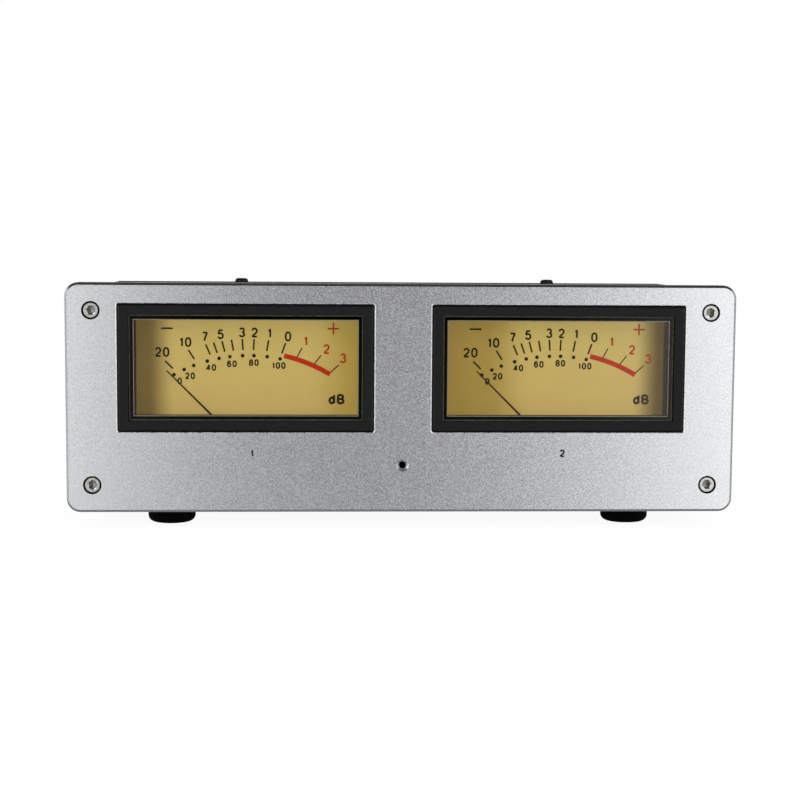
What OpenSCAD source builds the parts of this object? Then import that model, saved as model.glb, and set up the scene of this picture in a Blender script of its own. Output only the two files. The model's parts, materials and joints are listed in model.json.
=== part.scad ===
// Twin pointer level meter in a desk case: an aluminium front panel with two
// backlit moving-coil meters, a small microphone behind it, a folded cover
// and tray, and the input, power and sensitivity fittings at the rear.
// Millimetres. X runs to the right, Y runs away from the viewer, Z is up.
// The origin is on the desk, under the middle of the overall width and depth.

/* [Front panel] */
// thickness of the front panel
panel_t = 5; // [4.5:0.5:8]
// radius of the panel's corners
panel_corner_r = 4.8; // [2:0.2:7]
// bevel round the panel's front edge
panel_bevel = 0.9; // [0.2:0.1:1.5]
// bevel round each meter opening
opening_bevel = 0.4; // [0.1:0.1:0.8]
// distance of the corner screws from the panel's ends
corner_inset_x = 9; // [8.5:0.1:11]
// distance of the corner screws from the panel's upper and lower edges
corner_inset_z = 9.6; // [9:0.1:12]
// distance between the two meter openings
meter_gap = 20.2; // [18:0.2:40]
// distance from a meter opening to the panel's end
end_margin = 17.9; // [16:0.1:40]
// distance from a meter opening to the panel's upper edge
top_margin = 7.2; // [6.5:0.1:20]
// height of the microphone hole above the panel's lower edge
mic_rise = 16.5; // [14:0.5:22]

/* [Case] */
// depth of the case, from the panel's face to the back of the rear panel
case_depth = 105; // [95:1:140]
// how far the cover's sides stand in from the panel's ends
cover_side_inset = 5; // [4:0.5:6]
// how far the cover's top and the tray stand in from the panel's edges
cover_top_inset = 2.1; // [1.5:0.1:3.5]
// thickness of the folded steel of cover and tray
sheet_t = 1.5; // [1:0.1:2]
// thickness of the rear panel
rear_t = 3; // [2:0.5:4]
// outer radius of the cover's folds
fold_r = 2.2; // [1.8:0.2:4]
// distance from a corner screw to its rail's inner side
rail_inner = 4.3; // [3:0.1:4.8]
// sideways distance of the two cover screws from the middle
cover_screw_x = 59; // [58:0.5:70]
// distance of the cover screws behind the panel's face
cover_screw_back = 67; // [60:1:75]

/* [Feet] */
// how far the feet reach below the panel's lower edge
foot_drop = 6.3; // [4:0.1:10]
// diameter of a foot
foot_d = 17; // [14:0.5:20]
// radius of a foot's lower edge
foot_edge_r = 2.4; // [1:0.2:4.4]
// distance of the feet from the panel's ends
foot_inset = 34.8; // [20:0.2:50]
// distance of the front feet behind the panel's face
foot_back = 20.7; // [16:0.1:30]

/* [Meters] */
// width of a meter opening in the panel
opening_w = 89; // [88:0.5:90]
// height of a meter opening in the panel
opening_h = 44.6; // [43:0.2:46]
// gap between a bezel and its opening, all round
bezel_gap = 0.3; // [0.1:0.05:0.5]
// how far a bezel stands proud of the panel
bezel_proud = 0.4; // [0:0.1:1]
// width of a bezel's face
bezel_face = 3.5; // [2.5:0.1:4]
// width of the ledge that the lens sits on
lens_ledge = 1.7; // [1:0.1:2.5]
// thickness of the clear lens
lens_t = 2; // [1:0.1:2.5]
// depth of the dial behind the panel's face
dial_back = 11; // [10.6:0.1:12]
// depth of a meter case behind the panel's face
meter_depth = 40; // [39:0.5:44]

/* [Movement] */
// sideways offset of the pointer's pivot from the meter's centre
pivot_x = 1.7; // [-2:0.1:3]
// distance of the pivot below the meter opening
pivot_below = 9; // [7:0.5:12]
// length of the pointer from pivot to tip
needle_len = 42.2; // [36:0.1:46]
// angle of the resting pointer, left of upright
rest_angle = 45; // [40:0.5:46]
// radius of the round magnet inside the coil
core_r = 5.5; // [5:0.1:5.8]
// outer radius of the iron ring round the coil
yoke_r = 10.4; // [9.6:0.1:10.8]
// radius of the pointer's pivot shaft
pivot_r = 0.6; // [0.5:0.05:0.8]

/* [Rear fittings] */
// height of the rear fittings above the tray
fitting_rise = 28.1; // [24:0.1:40]
// outside radius of a line input socket's barrel
line_barrel_r = 4.15; // [4:0.05:4.3]
// length of a line input socket's barrel outside the panel
line_barrel_len = 8.5; // [8:0.5:10]
// radius of the power socket's opening
power_bore_r = 2.8; // [2.6:0.05:3]
// radius of the sensitivity knob
knob_r = 8; // [6:0.5:10]
// length of the sensitivity knob
knob_len = 14; // [10:1:18]
// tilt of the input switch's lever at either end of its throw
lever_tilt = 12; // [8:1:14]

/* [Hidden] */
$fn = 64;
eps = 0.01;

// openings, bezels and windows of the meters
meter_x = (meter_gap + opening_w) / 2;
bezel_w = opening_w - 2 * bezel_gap;
bezel_h = opening_h - 2 * bezel_gap;
bezel_corner_r = 0.6;
bezel_bevel = 0.5;
lens_recess_w = bezel_w - 2 * bezel_face;
lens_recess_h = bezel_h - 2 * bezel_face;
window_w = lens_recess_w - 2 * lens_ledge;
window_h = lens_recess_h - 2 * lens_ledge;
lens_set = 1.2;
lens_gap = 0.1;

// outline of a meter's case, about the meter's centre
shell_lip = 1.5;
shell_top_lip = 1.7;
yoke_floor = 2.8;
pivot_drop = opening_h / 2 + pivot_below;
shell_w = opening_w + 2 * shell_lip;
shell_top = opening_h / 2 + shell_top_lip;
shell_bottom = -pivot_drop - yoke_r - yoke_floor;
shell_wall = 1.8;
shell_h = shell_top - shell_bottom;
shell_mid = (shell_top + shell_bottom) / 2;
case_floor_gap = 2.4;

// planes of the case
panel_w = 2 * (meter_gap / 2 + opening_w + end_margin);
panel_h = opening_h / 2 + top_margin - shell_bottom + case_floor_gap + sheet_t + cover_top_inset;
meter_rise = panel_h / 2 - top_margin - opening_h / 2;
corner_screw_x = panel_w / 2 - corner_inset_x;
corner_screw_z = panel_h / 2 - corner_inset_z;
knob_stand = 5.5;
front_y = bezel_proud - (bezel_proud + case_depth + knob_stand + knob_len) / 2;
rear_y = front_y + case_depth;
mid_y = (front_y + rear_y) / 2;
panel_z = foot_drop + panel_h / 2;
tray_z = foot_drop + cover_top_inset;
cover_z = foot_drop + panel_h - cover_top_inset;
cover_w = panel_w - 2 * cover_side_inset;
floor_z = tray_z + sheet_t;
ceiling_z = cover_z - sheet_t;
inner_y0 = front_y + panel_t;
inner_y1 = rear_y - rear_t;
sheet_gap = 0.2;

// metric screws, size 3
thread_r = 1.5;
thread_gap = 0.05;
clear_r = 1.7;
tapped_depth = 12;
cap_head_r = 2.75;
cap_head_h = 3;
cap_edge = 0.25;
counterbore_r = 3.2;
counterbore_h = 3.3;
cap_screw_len = 10;
pan_head_r = 2.8;
pan_head_h = 2;
pan_screw_len = 6;
slot_r = 1.1;

// rails
rail_x1 = cover_w / 2 - sheet_t - sheet_gap;
rail_w = rail_x1 - corner_screw_x + rail_inner;
rail_half_h = ceiling_z - panel_z - corner_screw_z;
rail_screw_y = 28;

// cover screws
cover_screw_y = front_y + cover_screw_back;
washer_r = 3.5;
washer_h = 0.5;
button_r = 2.5;
button_h = 1.8;
pillar_across = 6;

// feet
foot_x = panel_w / 2 - foot_inset;
foot_y = case_depth / 2 - foot_back;
foot_recess_r = 3.6;
foot_recess_h = 5;
foot_screw_out = 1.2;

// microphone
mic_hole_r = 1.2;
mic_bevel = 0.9;
mic_drop = panel_h / 2 - mic_rise;
mic_r = 4.85;
mic_len = 6.5;
grommet_r = 6.8;
grommet_len = 6;
mic_set = 0.5;

// meters
meter_z = panel_z + meter_rise;
plate_t = 2;
plate_y1 = panel_t + plate_t;
collar_t = 1.2;
dial_t = 1;
diffuser_t = 2;
dial_gap = 0.7;
dial_w = shell_w - 2 * shell_wall - 2 * dial_gap;
dial_half_h = window_h / 2 + 3.2;
rib_t = 2.2;
lamp_y = 24;
lamp_t = 1.2;
lamp_w = window_w - 2;
lamp_h = window_h - 3.6;
lamp_post_inset = 4;
lamp_mid = 3;
led_r = 2.5;
led_len = 5;
meter_screw_x = shell_w / 2 - 7;
meter_screw_z = shell_bottom + 7.5;
meter_screw_r = 1.25;

// movement, measured back from the panel's face
bridge_y0 = plate_y1 + 0.6;
bridge_t = 1.4;
needle_y = 8.3;
needle_t = 0.4;
arm_y = 10.7;
coil_y0 = 12.6;
coil_y1 = 27.4;
coil_wall = 1.2;
coil_r0 = core_r + 0.6;
coil_half_w = 1.2;
core_y0 = coil_y0 + coil_wall + 0.6;
core_y1 = coil_y1 - coil_wall - 0.6;
yoke_bore_r = coil_r0 + coil_wall + 0.7;
frame_y0 = 30.5;
frame_t = 2.5;
frame_post_x = 13;
frame_post_r = 1.8;
pivot_gap = 0.05;
jewel_r = 1.3;
spring_r0 = 1.9;
spring_r1 = 5.4;
spring_turns = 3;
spring_w = 0.16;
spring_h = 0.5;
terminal_x = 12;
terminal_z = -6;
terminal_r = 1.5;
stud_len = 7;

// bar that holds both meters against the panel
clamp_z = meter_z - 5;
clamp_h = 12;
clamp_t = 1.5;
clamp_x = (shell_w / 2 + meter_x + cover_w / 2 - sheet_t) / 2 - 1;
clamp_across = 5.5;
blind_depth = 3.5;

// board
board_side_gap = 4;
board_front_gap = 9;
board_rear_gap = 13.5;
board_w = 2 * (cover_screw_x - pillar_across / 2 - board_side_gap);
board_y0 = front_y + meter_depth + clamp_t + board_front_gap;
board_y1 = inner_y1 - board_rear_gap;
board_t = 1.6;
standoff_h = 6;
board_z = floor_z + standoff_h;
board_top = board_z + board_t;
board_inset = 4;
cap_r = 4;
cap_h = 11.5;
cap_lip = 0.5;
cap_inset = 16;
cap_back = [10, 26];
chip_x = 14;
chip_back = 18;
chip_w = 6.4;
chip_l = 10;
chip_h = 3.3;
chip_lift = 0.5;
chip_pitch = 2.54;
chip_lead_w = 1.2;
chip_lead_t = 0.6;

// rear fittings, from left to right as seen from the front
fitting_z = floor_z + fitting_rise;
line_inset = 36;
line_pitch = 18;
line_x = [-cover_w / 2 + line_inset, -cover_w / 2 + line_inset + line_pitch];
power_x = cover_w / 2 - 32;
switch_x = power_x - 38;
pot_x = 0;
pot_r = 8.5;
pot_len = 10;
pot_tag_w = 14;
pot_tag_back = 9;
pot_tag_drop = 14;
nut_h = 2;
flange_h = 1.2;
bushing_gap = 0.1;
line_bushing_r = 3.9;
power_bushing_r = 4.5;
switch_bushing_r = 3;
pot_bushing_r = 3.5;
shaft_r = 2.5;
shaft_gap = 0.05;
shaft_len = knob_stand + knob_len - 6.5;
pot_bushing_len = knob_stand - 1;
switch_bore_r = 2.3;
switch_bushing_len = 5;
switch_body_d = 9;
switch_body_w = 8;
switch_body_h = 13;
switch_tail = 13;
switch_tag_z = 4.5;
jack_tail = 10;
lever_r = 1;
lever_len = 13;
lever_tip_r = 1.6;
lever_ball_r = 1.8;
lever_pin_r = 0.5;
lever_pin_len = 5.2;
wire_r = 0.6;

// ---- shapes ----

// a round bar along Y from y0 to y1
module rod(y0, y1, r) {
    translate([0, y0, 0]) rotate([-90, 0, 0]) cylinder(h = y1 - y0, r = r);
}

// a round bar along Y whose radius runs from r0 at y0 to r1 at y1
module taper(y0, y1, r0, r1) {
    translate([0, y0, 0]) rotate([-90, 0, 0]) cylinder(h = y1 - y0, r1 = r0, r2 = r1);
}

// a six-sided bar along Y, given its width across the flats
module hex_rod(y0, y1, across) {
    translate([0, y0, 0]) rotate([-90, 0, 0])
        cylinder(h = y1 - y0, r = across / sqrt(3), $fn = 6);
}

// an upright round bar from z0 to z1
module post(z0, z1, r) {
    translate([0, 0, z0]) cylinder(h = z1 - z0, r = r);
}

// a flat outline drawn in X and Z, thickened from y0 to y1
module slab(y0, y1) {
    translate([0, y1, 0]) rotate([90, 0, 0]) linear_extrude(y1 - y0) children();
}

module rounded_rect(w, h, r) {
    square([w - 2 * r, h], center = true);
    square([w, h - 2 * r], center = true);
    for (sx = [-1, 1], sz = [-1, 1])
        translate([sx * (w / 2 - r), sz * (h / 2 - r)]) circle(r);
}

// a rounded slab from y = 0 to y = t that grows by `grow` on every side
module bevel_slab(w, h, r, grow, t) {
    rotate([0, 0, 0]) translate([0, 0, -(h / 2 - r)]) linear_extrude(h - 2 * r)
        polygon([[-w / 2, 0], [w / 2, 0], [w / 2 + grow, t], [-w / 2 - grow, t]]);
    translate([-(w / 2 - r), 0, 0]) rotate([90, 0, 90]) linear_extrude(w - 2 * r)
        polygon([[0, -h / 2], [0, h / 2], [t, h / 2 + grow], [t, -h / 2 - grow]]);
    for (sx = [-1, 1], sz = [-1, 1])
        translate([sx * (w / 2 - r), 0, sz * (h / 2 - r)]) taper(0, t, r, r + grow);
}

// socket-head screw: the head's face at y = 0, the shank along +Y
module cap_screw() {
    difference() {
        union() {
            taper(0, cap_edge, cap_head_r - cap_edge, cap_head_r);
            rod(cap_edge, cap_head_h, cap_head_r);
            rod(cap_head_h, cap_head_h + cap_screw_len, thread_r - thread_gap);
        }
        hex_rod(-eps, 1.6, 2.5);
    }
}

// pan-head screw: the head's underside at y = 0, the shank along +Y
module pan_screw(len) {
    difference() {
        union() {
            rod(-pan_head_h, 0, pan_head_r);
            rod(0, len, thread_r - thread_gap);
        }
        hex_rod(-pan_head_h - eps, -pan_head_h + 1.2, 2);
    }
}

module corners() {
    for (sx = [-1, 1], sz = [-1, 1])
        translate([sx * corner_screw_x, 0, panel_z + sz * corner_screw_z]) children();
}

// places a piece of one meter: side is -1 for left, 1 for right
module at_meter(side) {
    translate([side * meter_x, front_y, meter_z]) children();
}

module at_pivot(side) {
    at_meter(side) translate([pivot_x, 0, -pivot_drop]) children();
}

// ---- case ----

module front_panel() color("silver") difference() {
    translate([0, front_y, panel_z]) union() {
        bevel_slab(panel_w - 2 * panel_bevel, panel_h - 2 * panel_bevel,
            panel_corner_r - panel_bevel, panel_bevel, panel_bevel);
        slab(panel_bevel, panel_t) rounded_rect(panel_w, panel_h, panel_corner_r);
    }
    for (side = [-1, 1]) at_meter(side) {
        slab(-eps, panel_t + eps) rounded_rect(opening_w, opening_h, bezel_corner_r);
        translate([0, -eps, 0]) bevel_slab(opening_w + 2 * opening_bevel,
            opening_h + 2 * opening_bevel, bezel_corner_r + opening_bevel,
            -opening_bevel, opening_bevel);
    }
    corners() {
        rod(front_y - eps, front_y + counterbore_h, counterbore_r);
        rod(front_y, inner_y0 + eps, clear_r);
    }
    translate([0, front_y, panel_z - mic_drop]) {
        rod(-eps, panel_t + eps, mic_hole_r);
        taper(-eps, mic_bevel, mic_hole_r + mic_bevel, mic_hole_r);
    }
    clamp_places() rod(inner_y0 - blind_depth, inner_y0 + eps, thread_r);
}

module front_panel_screws() color("dimgray")
    corners() translate([0, front_y + counterbore_h - cap_head_h, 0]) cap_screw();

module side_rails() color("gainsboro")
    for (sx = [-1, 1], sz = [-1, 1]) difference() {
        translate([sx * (rail_x1 - rail_w / 2), 0, panel_z + sz * corner_screw_z])
            translate([-rail_w / 2, inner_y0, -rail_half_h])
                cube([rail_w, inner_y1 - inner_y0, 2 * rail_half_h]);
        translate([sx * corner_screw_x, 0, panel_z + sz * corner_screw_z]) {
            rod(inner_y0 - eps, inner_y0 + tapped_depth, thread_r);
            rod(inner_y1 - tapped_depth, inner_y1 + eps, thread_r);
        }
        if (sz < 0) rail_screw_places() post(floor_z - eps, floor_z + pan_screw_len, thread_r);
    }

module rear_panel() color("dimgray") difference() {
    translate([0, 0, (tray_z + cover_z) / 2]) slab(inner_y1, rear_y)
        rounded_rect(cover_w, cover_z - tray_z, fold_r);
    corners() rod(inner_y1 - eps, rear_y + eps, clear_r);
    for (x = line_x) at_fitting(x) rod(inner_y1 - eps, rear_y + eps, line_bushing_r + bushing_gap);
    at_fitting(power_x) rod(inner_y1 - eps, rear_y + eps, power_bushing_r + bushing_gap);
    at_fitting(switch_x) rod(inner_y1 - eps, rear_y + eps, switch_bushing_r + bushing_gap);
    at_fitting(pot_x) rod(inner_y1 - eps, rear_y + eps, pot_bushing_r + bushing_gap);
}

module rear_panel_screws() color("black")
    corners() translate([0, rear_y, 0]) rotate([0, 0, 180]) pan_screw(cap_screw_len);

module base_tray() color("dimgray") difference() {
    translate([-rail_x1, inner_y0, tray_z])
        cube([2 * rail_x1, inner_y1 - inner_y0, sheet_t]);
    foot_places() post(tray_z - eps, floor_z + eps, thread_r);
    rail_screw_places() post(tray_z - eps, floor_z + eps, clear_r);
    pillar_places() post(tray_z - eps, floor_z + eps, clear_r);
    board_places() post(tray_z - eps, floor_z + eps, thread_r);
}

module foot_places() {
    for (sx = [-1, 1], sy = [-1, 1]) translate([sx * foot_x, mid_y + sy * foot_y, 0]) children();
}

module rail_screw_places() {
    for (sx = [-1, 1], sy = [-1, 1])
        translate([sx * (rail_x1 - rail_w / 2), mid_y + sy * rail_screw_y, 0]) children();
}

module pillar_places() {
    for (sx = [-1, 1]) translate([sx * cover_screw_x, cover_screw_y, 0]) children();
}

module board_places() {
    for (sx = [-1, 1], y = [board_y0 + board_inset, board_y1 - board_inset])
        translate([sx * (board_w / 2 - board_inset), y, 0]) children();
}

// the same pan-head screw holds the rails, the pillars and the board
module pan_screws() color("gainsboro") {
    rail_screw_places() translate([0, 0, tray_z]) rotate([90, 0, 0]) pan_screw(pan_screw_len);
    pillar_places() translate([0, 0, tray_z]) rotate([90, 0, 0]) pan_screw(pan_screw_len);
    board_places() translate([0, 0, board_top]) rotate([-90, 0, 0]) pan_screw(standoff_h - 1);
}

module top_cover() color("black") difference() {
    translate([0, 0, tray_z]) slab(inner_y0, inner_y1) difference() {
        union() {
            translate([-cover_w / 2, 0]) square([cover_w, cover_z - tray_z - fold_r]);
            translate([-cover_w / 2 + fold_r, 0]) square([cover_w - 2 * fold_r, cover_z - tray_z]);
            for (sx = [-1, 1])
                translate([sx * (cover_w / 2 - fold_r), cover_z - tray_z - fold_r]) circle(fold_r);
        }
        translate([-cover_w / 2 + sheet_t, -eps])
            square([cover_w - 2 * sheet_t, cover_z - tray_z - sheet_t + eps]);
    }
    pillar_places() post(ceiling_z - eps, cover_z + eps, clear_r);
}

module cover_screws() color("black") pillar_places() difference() {
    union() {
        post(cover_z, cover_z + washer_h, washer_r);
        post(cover_z + washer_h, cover_z + washer_h + button_h - 0.6, button_r);
        translate([0, 0, cover_z + washer_h + button_h - 0.6])
            cylinder(h = 0.6, r1 = button_r, r2 = button_r - 0.5);
        post(cover_z - pan_screw_len - sheet_t, cover_z, thread_r - thread_gap);
    }
    translate([0, 0, cover_z + washer_h + button_h - 1.1])
        cylinder(h = 2, r = slot_r, $fn = 6);
}

module cover_pillars() color("silver") pillar_places() difference() {
    translate([0, 0, floor_z])
        cylinder(h = ceiling_z - floor_z, r = pillar_across / sqrt(3), $fn = 6);
    post(floor_z - eps, floor_z + tapped_depth, thread_r);
    post(ceiling_z - tapped_depth, ceiling_z + eps, thread_r);
}

module feet() color("black") foot_places() difference() {
    rotate_extrude() intersection() {
        union() {
            square([foot_d / 2 - foot_edge_r, tray_z]);
            translate([0, foot_edge_r]) square([foot_d / 2, tray_z - foot_edge_r]);
            translate([foot_d / 2 - foot_edge_r, foot_edge_r]) circle(foot_edge_r);
        }
        square([foot_d / 2, tray_z]);
    }
    post(-eps, foot_recess_h, foot_recess_r);
    post(0, tray_z + eps, clear_r);
}

module foot_screws() color("gainsboro") foot_places() translate([0, 0, foot_recess_h])
    rotate([90, 0, 0]) pan_screw(tray_z - foot_recess_h + sheet_t + foot_screw_out);

// ---- microphone ----

module at_mic() {
    translate([0, front_y, panel_z - mic_drop]) children();
}

module mic_grommet() color("black") at_mic() difference() {
    rod(panel_t, panel_t + grommet_len, grommet_r);
    rod(panel_t - eps, panel_t + grommet_len + eps, mic_r);
}

module mic_capsule() color("silver") at_mic() difference() {
    rod(panel_t + mic_set, panel_t + mic_set + mic_len, mic_r);
    rod(panel_t, panel_t + 1.3, 1.5);
}

// ---- bar behind the meters ----

module clamp_places() {
    for (x = [-clamp_x, 0, clamp_x]) translate([x, 0, clamp_z]) children();
}

module clamp_studs() color("silver") clamp_places() difference() {
    union() {
        hex_rod(inner_y0, front_y + meter_depth, clamp_across);
        rod(inner_y0 - blind_depth + 0.3, inner_y0 + eps, thread_r - thread_gap);
    }
    rod(front_y + meter_depth - tapped_depth, front_y + meter_depth + eps, thread_r);
}

module clamp_bar() color("dimgray") difference() {
    translate([-clamp_x - 4, front_y + meter_depth, clamp_z - clamp_h / 2])
        cube([2 * clamp_x + 8, clamp_t, clamp_h]);
    clamp_places() rod(front_y + meter_depth - eps, front_y + meter_depth + clamp_t + eps, clear_r);
    for (side = [-1, 1], sx = [-1, 1])
        at_meter(side) translate([sx * terminal_x, 0, terminal_z])
            rod(meter_depth - eps, meter_depth + clamp_t + eps, terminal_r + 1.5);
}

module clamp_screws() color("gainsboro") clamp_places()
    translate([0, front_y + meter_depth + clamp_t, 0]) rotate([0, 0, 180]) pan_screw(pan_screw_len);

// ---- board ----

module driver_board() color("darkgreen") difference() {
    translate([-board_w / 2, board_y0, board_z]) cube([board_w, board_y1 - board_y0, board_t]);
    board_places() post(board_z - eps, board_top + eps, clear_r);
}

module board_standoffs() color("gold") board_places() difference() {
    union() {
        translate([0, 0, floor_z]) cylinder(h = standoff_h, r = clamp_across / sqrt(3), $fn = 6);
        post(tray_z + 0.2, floor_z + eps, thread_r - thread_gap);
    }
    post(board_z - 4.5, board_z + eps, thread_r);
}

module capacitors() color("midnightblue")
    for (sx = [-1, 1], y = cap_back)
        translate([sx * (board_w / 2 - cap_inset), board_y0 + y, board_top]) {
            cylinder(h = cap_h - cap_lip, r = cap_r);
            translate([0, 0, cap_h - cap_lip]) cylinder(h = cap_lip, r1 = cap_r, r2 = cap_r - cap_lip);
        }

module driver_chips() color("black")
    for (sx = [-1, 1]) translate([sx * chip_x, board_y0 + chip_back, board_top]) {
        translate([-chip_w / 2, -chip_l / 2, chip_lift]) cube([chip_w, chip_l, chip_h]);
        for (side = [-1, 1], i = [-1.5:1:1.5])
            translate([side * (chip_w / 2 + chip_lead_w / 2 - 0.1) - chip_lead_w / 2,
                i * chip_pitch - chip_lead_t / 2, 0])
                cube([chip_lead_w, chip_lead_t, chip_lift + chip_h / 2]);
    }

// ---- rear fittings ----

module at_fitting(x) {
    translate([x, 0, fitting_z]) children();
}

module line_jacks() color("gold") for (x = line_x) at_fitting(x) difference() {
    union() {
        rod(rear_y + flange_h, rear_y + line_barrel_len, line_barrel_r);
        rod(rear_y, rear_y + flange_h, 6);
        rod(inner_y1 - 6, rear_y, line_bushing_r);
        rod(inner_y1 - jack_tail, inner_y1 - 6, 2);
    }
    rod(inner_y1 - 2, rear_y + line_barrel_len + eps, 1.65);
}

module power_jack() color("black") at_fitting(power_x) difference() {
    union() {
        rod(rear_y, rear_y + 2, 6);
        rod(inner_y1 - 8, rear_y, power_bushing_r);
        rod(inner_y1 - jack_tail - 1, inner_y1 - 8, 2);
    }
    difference() {
        rod(inner_y1 - 6, rear_y + 2 + eps, power_bore_r);
        rod(inner_y1 - 7, rear_y + 1, 1);
    }
}

module sensitivity_pot() color("silver") at_fitting(pot_x) difference() {
    union() {
        rod(inner_y1 - 1 - pot_len, inner_y1 - 1, pot_r);
        rod(inner_y1 - 1, rear_y + pot_bushing_len, pot_bushing_r);
        translate([-pot_tag_w / 2, inner_y1 - pot_tag_back, -pot_tag_drop])
            cube([pot_tag_w, 1.2, pot_tag_drop - pot_r + 2]);
    }
    rod(inner_y1 - 6, rear_y + pot_bushing_len + eps, shaft_r + shaft_gap);
}

module pot_shaft() color("gainsboro") at_fitting(pot_x)
    rod(inner_y1 - 5.5, rear_y + shaft_len, shaft_r);

module sensitivity_knob() color("black") at_fitting(pot_x) difference() {
    union() {
        rod(rear_y + knob_stand, rear_y + knob_stand + knob_len - 1, knob_r);
        taper(rear_y + knob_stand + knob_len - 1, rear_y + knob_stand + knob_len, knob_r, knob_r - 1);
    }
    rod(rear_y + 5, rear_y + shaft_len + 0.2, shaft_r + 0.02);
    for (a = [0:30:330]) rotate([0, a, 0]) translate([knob_r + 0.35, 0, 0])
        rod(rear_y + knob_stand + 2, rear_y + knob_stand + 1.5 + knob_len, 1);
    translate([-0.5, rear_y + knob_stand + knob_len - 0.6, knob_r - 5]) cube([1, 1, 6]);
}

module input_switch() color("silver") at_fitting(switch_x) difference() {
    union() {
        translate([-switch_body_w / 2, inner_y1 - 1 - switch_body_d, -switch_body_h / 2])
            cube([switch_body_w, switch_body_d, switch_body_h]);
        rod(inner_y1 - 1, rear_y + switch_bushing_len, switch_bushing_r);
        for (i = [-1:1]) translate([-1, inner_y1 - switch_tail, i * switch_tag_z - 0.4])
            cube([2, switch_tail - switch_body_d - 1, 0.8]);
    }
    rod(rear_y - rear_t, rear_y + switch_bushing_len + eps, switch_bore_r);
    translate([0, rear_y, 0]) cross_pin(lever_pin_r + thread_gap, lever_pin_len + 0.3);
}

// a pin along X
module cross_pin(r, len) {
    rotate([0, 90, 0]) cylinder(h = len, r = r, center = true);
}

// the lever leans up at rest, about a cross pin inside the bushing
module switch_lever() color("gainsboro") at_fitting(switch_x)
    translate([0, rear_y, 0]) rotate([lever_tilt, 0, 0]) {
        sphere(lever_ball_r);
        cross_pin(lever_pin_r, lever_pin_len);
        rod(0, lever_len, lever_r);
        taper(lever_len / 2, lever_len, lever_r, lever_tip_r);
        translate([0, lever_len, 0]) sphere(lever_tip_r + 0.02);
    }

module panel_nuts() color("silver") {
    for (x = line_x) at_fitting(x) nut(inner_y1 - nut_h, inner_y1, 11, line_bushing_r);
    at_fitting(power_x) nut(inner_y1 - nut_h, inner_y1, 12, power_bushing_r);
    at_fitting(switch_x) nut(rear_y, rear_y + nut_h, 8, switch_bushing_r);
    at_fitting(pot_x) nut(rear_y, rear_y + nut_h, 10, pot_bushing_r);
}

module nut(y0, y1, across, r) {
    difference() {
        hex_rod(y0, y1, across);
        rod(y0 - eps, y1 + eps, r + thread_gap);
    }
}

// ---- wiring ----

function unit_angle(v) = [0, acos(v[2] / norm(v)), atan2(v[1], v[0])];

module wire(points) {
    for (i = [0:len(points) - 2])
        translate(points[i]) rotate(unit_angle(points[i + 1] - points[i]))
            cylinder(h = norm(points[i + 1] - points[i]), r = wire_r, $fn = 20);
    for (i = [1:1:len(points) - 2]) translate(points[i]) sphere(wire_r + 0.05, $fn = 20);
}

module wiring() color("firebrick") {
    stud_y = front_y + meter_depth + stud_len;
    stud_z = meter_z + terminal_z;
    lead_y = board_y0 + 8.5;
    lead_x = board_w / 2 - 6;
    tail_y = board_y1 - 2;
    tail_x = board_w / 2 - 24;
    tail_step = 4;
    tag_y = inner_y1 - pot_tag_back + 0.6;
    tag_x = pot_tag_w / 2 - 2;
    for (side = [-1, 1]) {
        inner_x = side * (meter_x - terminal_x);
        outer_x = side * (meter_x + terminal_x);
        wire([[inner_x, stud_y, stud_z], [inner_x, lead_y, stud_z], [inner_x, lead_y, board_top]]);
        wire([[outer_x, stud_y, stud_z], [outer_x, lead_y, stud_z], [outer_x, lead_y, board_top + 10],
            [side * lead_x, lead_y, board_top + 10], [side * lead_x, lead_y, board_top]]);
    }
    for (sx = [-1, 1]) wire([[sx * 1.6, front_y + panel_t + mic_set + mic_len, panel_z - mic_drop],
        [sx * 1.6, board_y0 + 3.5, panel_z - mic_drop], [sx * 1.6, board_y0 + 3.5, board_top]]);
    wire([[line_x[0], inner_y1 - jack_tail, fitting_z], [line_x[0], tail_y, fitting_z],
        [line_x[0], tail_y, fitting_z + 6], [-tail_x, tail_y, fitting_z + 6], [-tail_x, tail_y, board_top]]);
    wire([[line_x[1], inner_y1 - jack_tail, fitting_z], [line_x[1], tail_y - tail_step, fitting_z],
        [tail_step - tail_x, tail_y - tail_step, fitting_z], [tail_step - tail_x, tail_y - tail_step, board_top]]);
    wire([[power_x, inner_y1 - jack_tail - 1, fitting_z], [power_x, tail_y, fitting_z],
        [tail_x, tail_y, fitting_z], [tail_x, tail_y, board_top]]);
    wire([[switch_x, inner_y1 - switch_tail, fitting_z - switch_tag_z],
        [switch_x, tail_y - 2, fitting_z - switch_tag_z],
        [tail_x - tail_step, tail_y - 2, fitting_z - switch_tag_z], [tail_x - tail_step, tail_y - 2, board_top]]);
    for (sx = [-1, 1]) wire([[sx * tag_x, tag_y, fitting_z - pot_tag_drop], [sx * tag_x, tag_y, board_top + 3],
        [sx * tag_x, tail_y - 1, board_top + 3], [sx * tag_x, tail_y - 1, board_top]]);
}

// ---- meters ----

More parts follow.
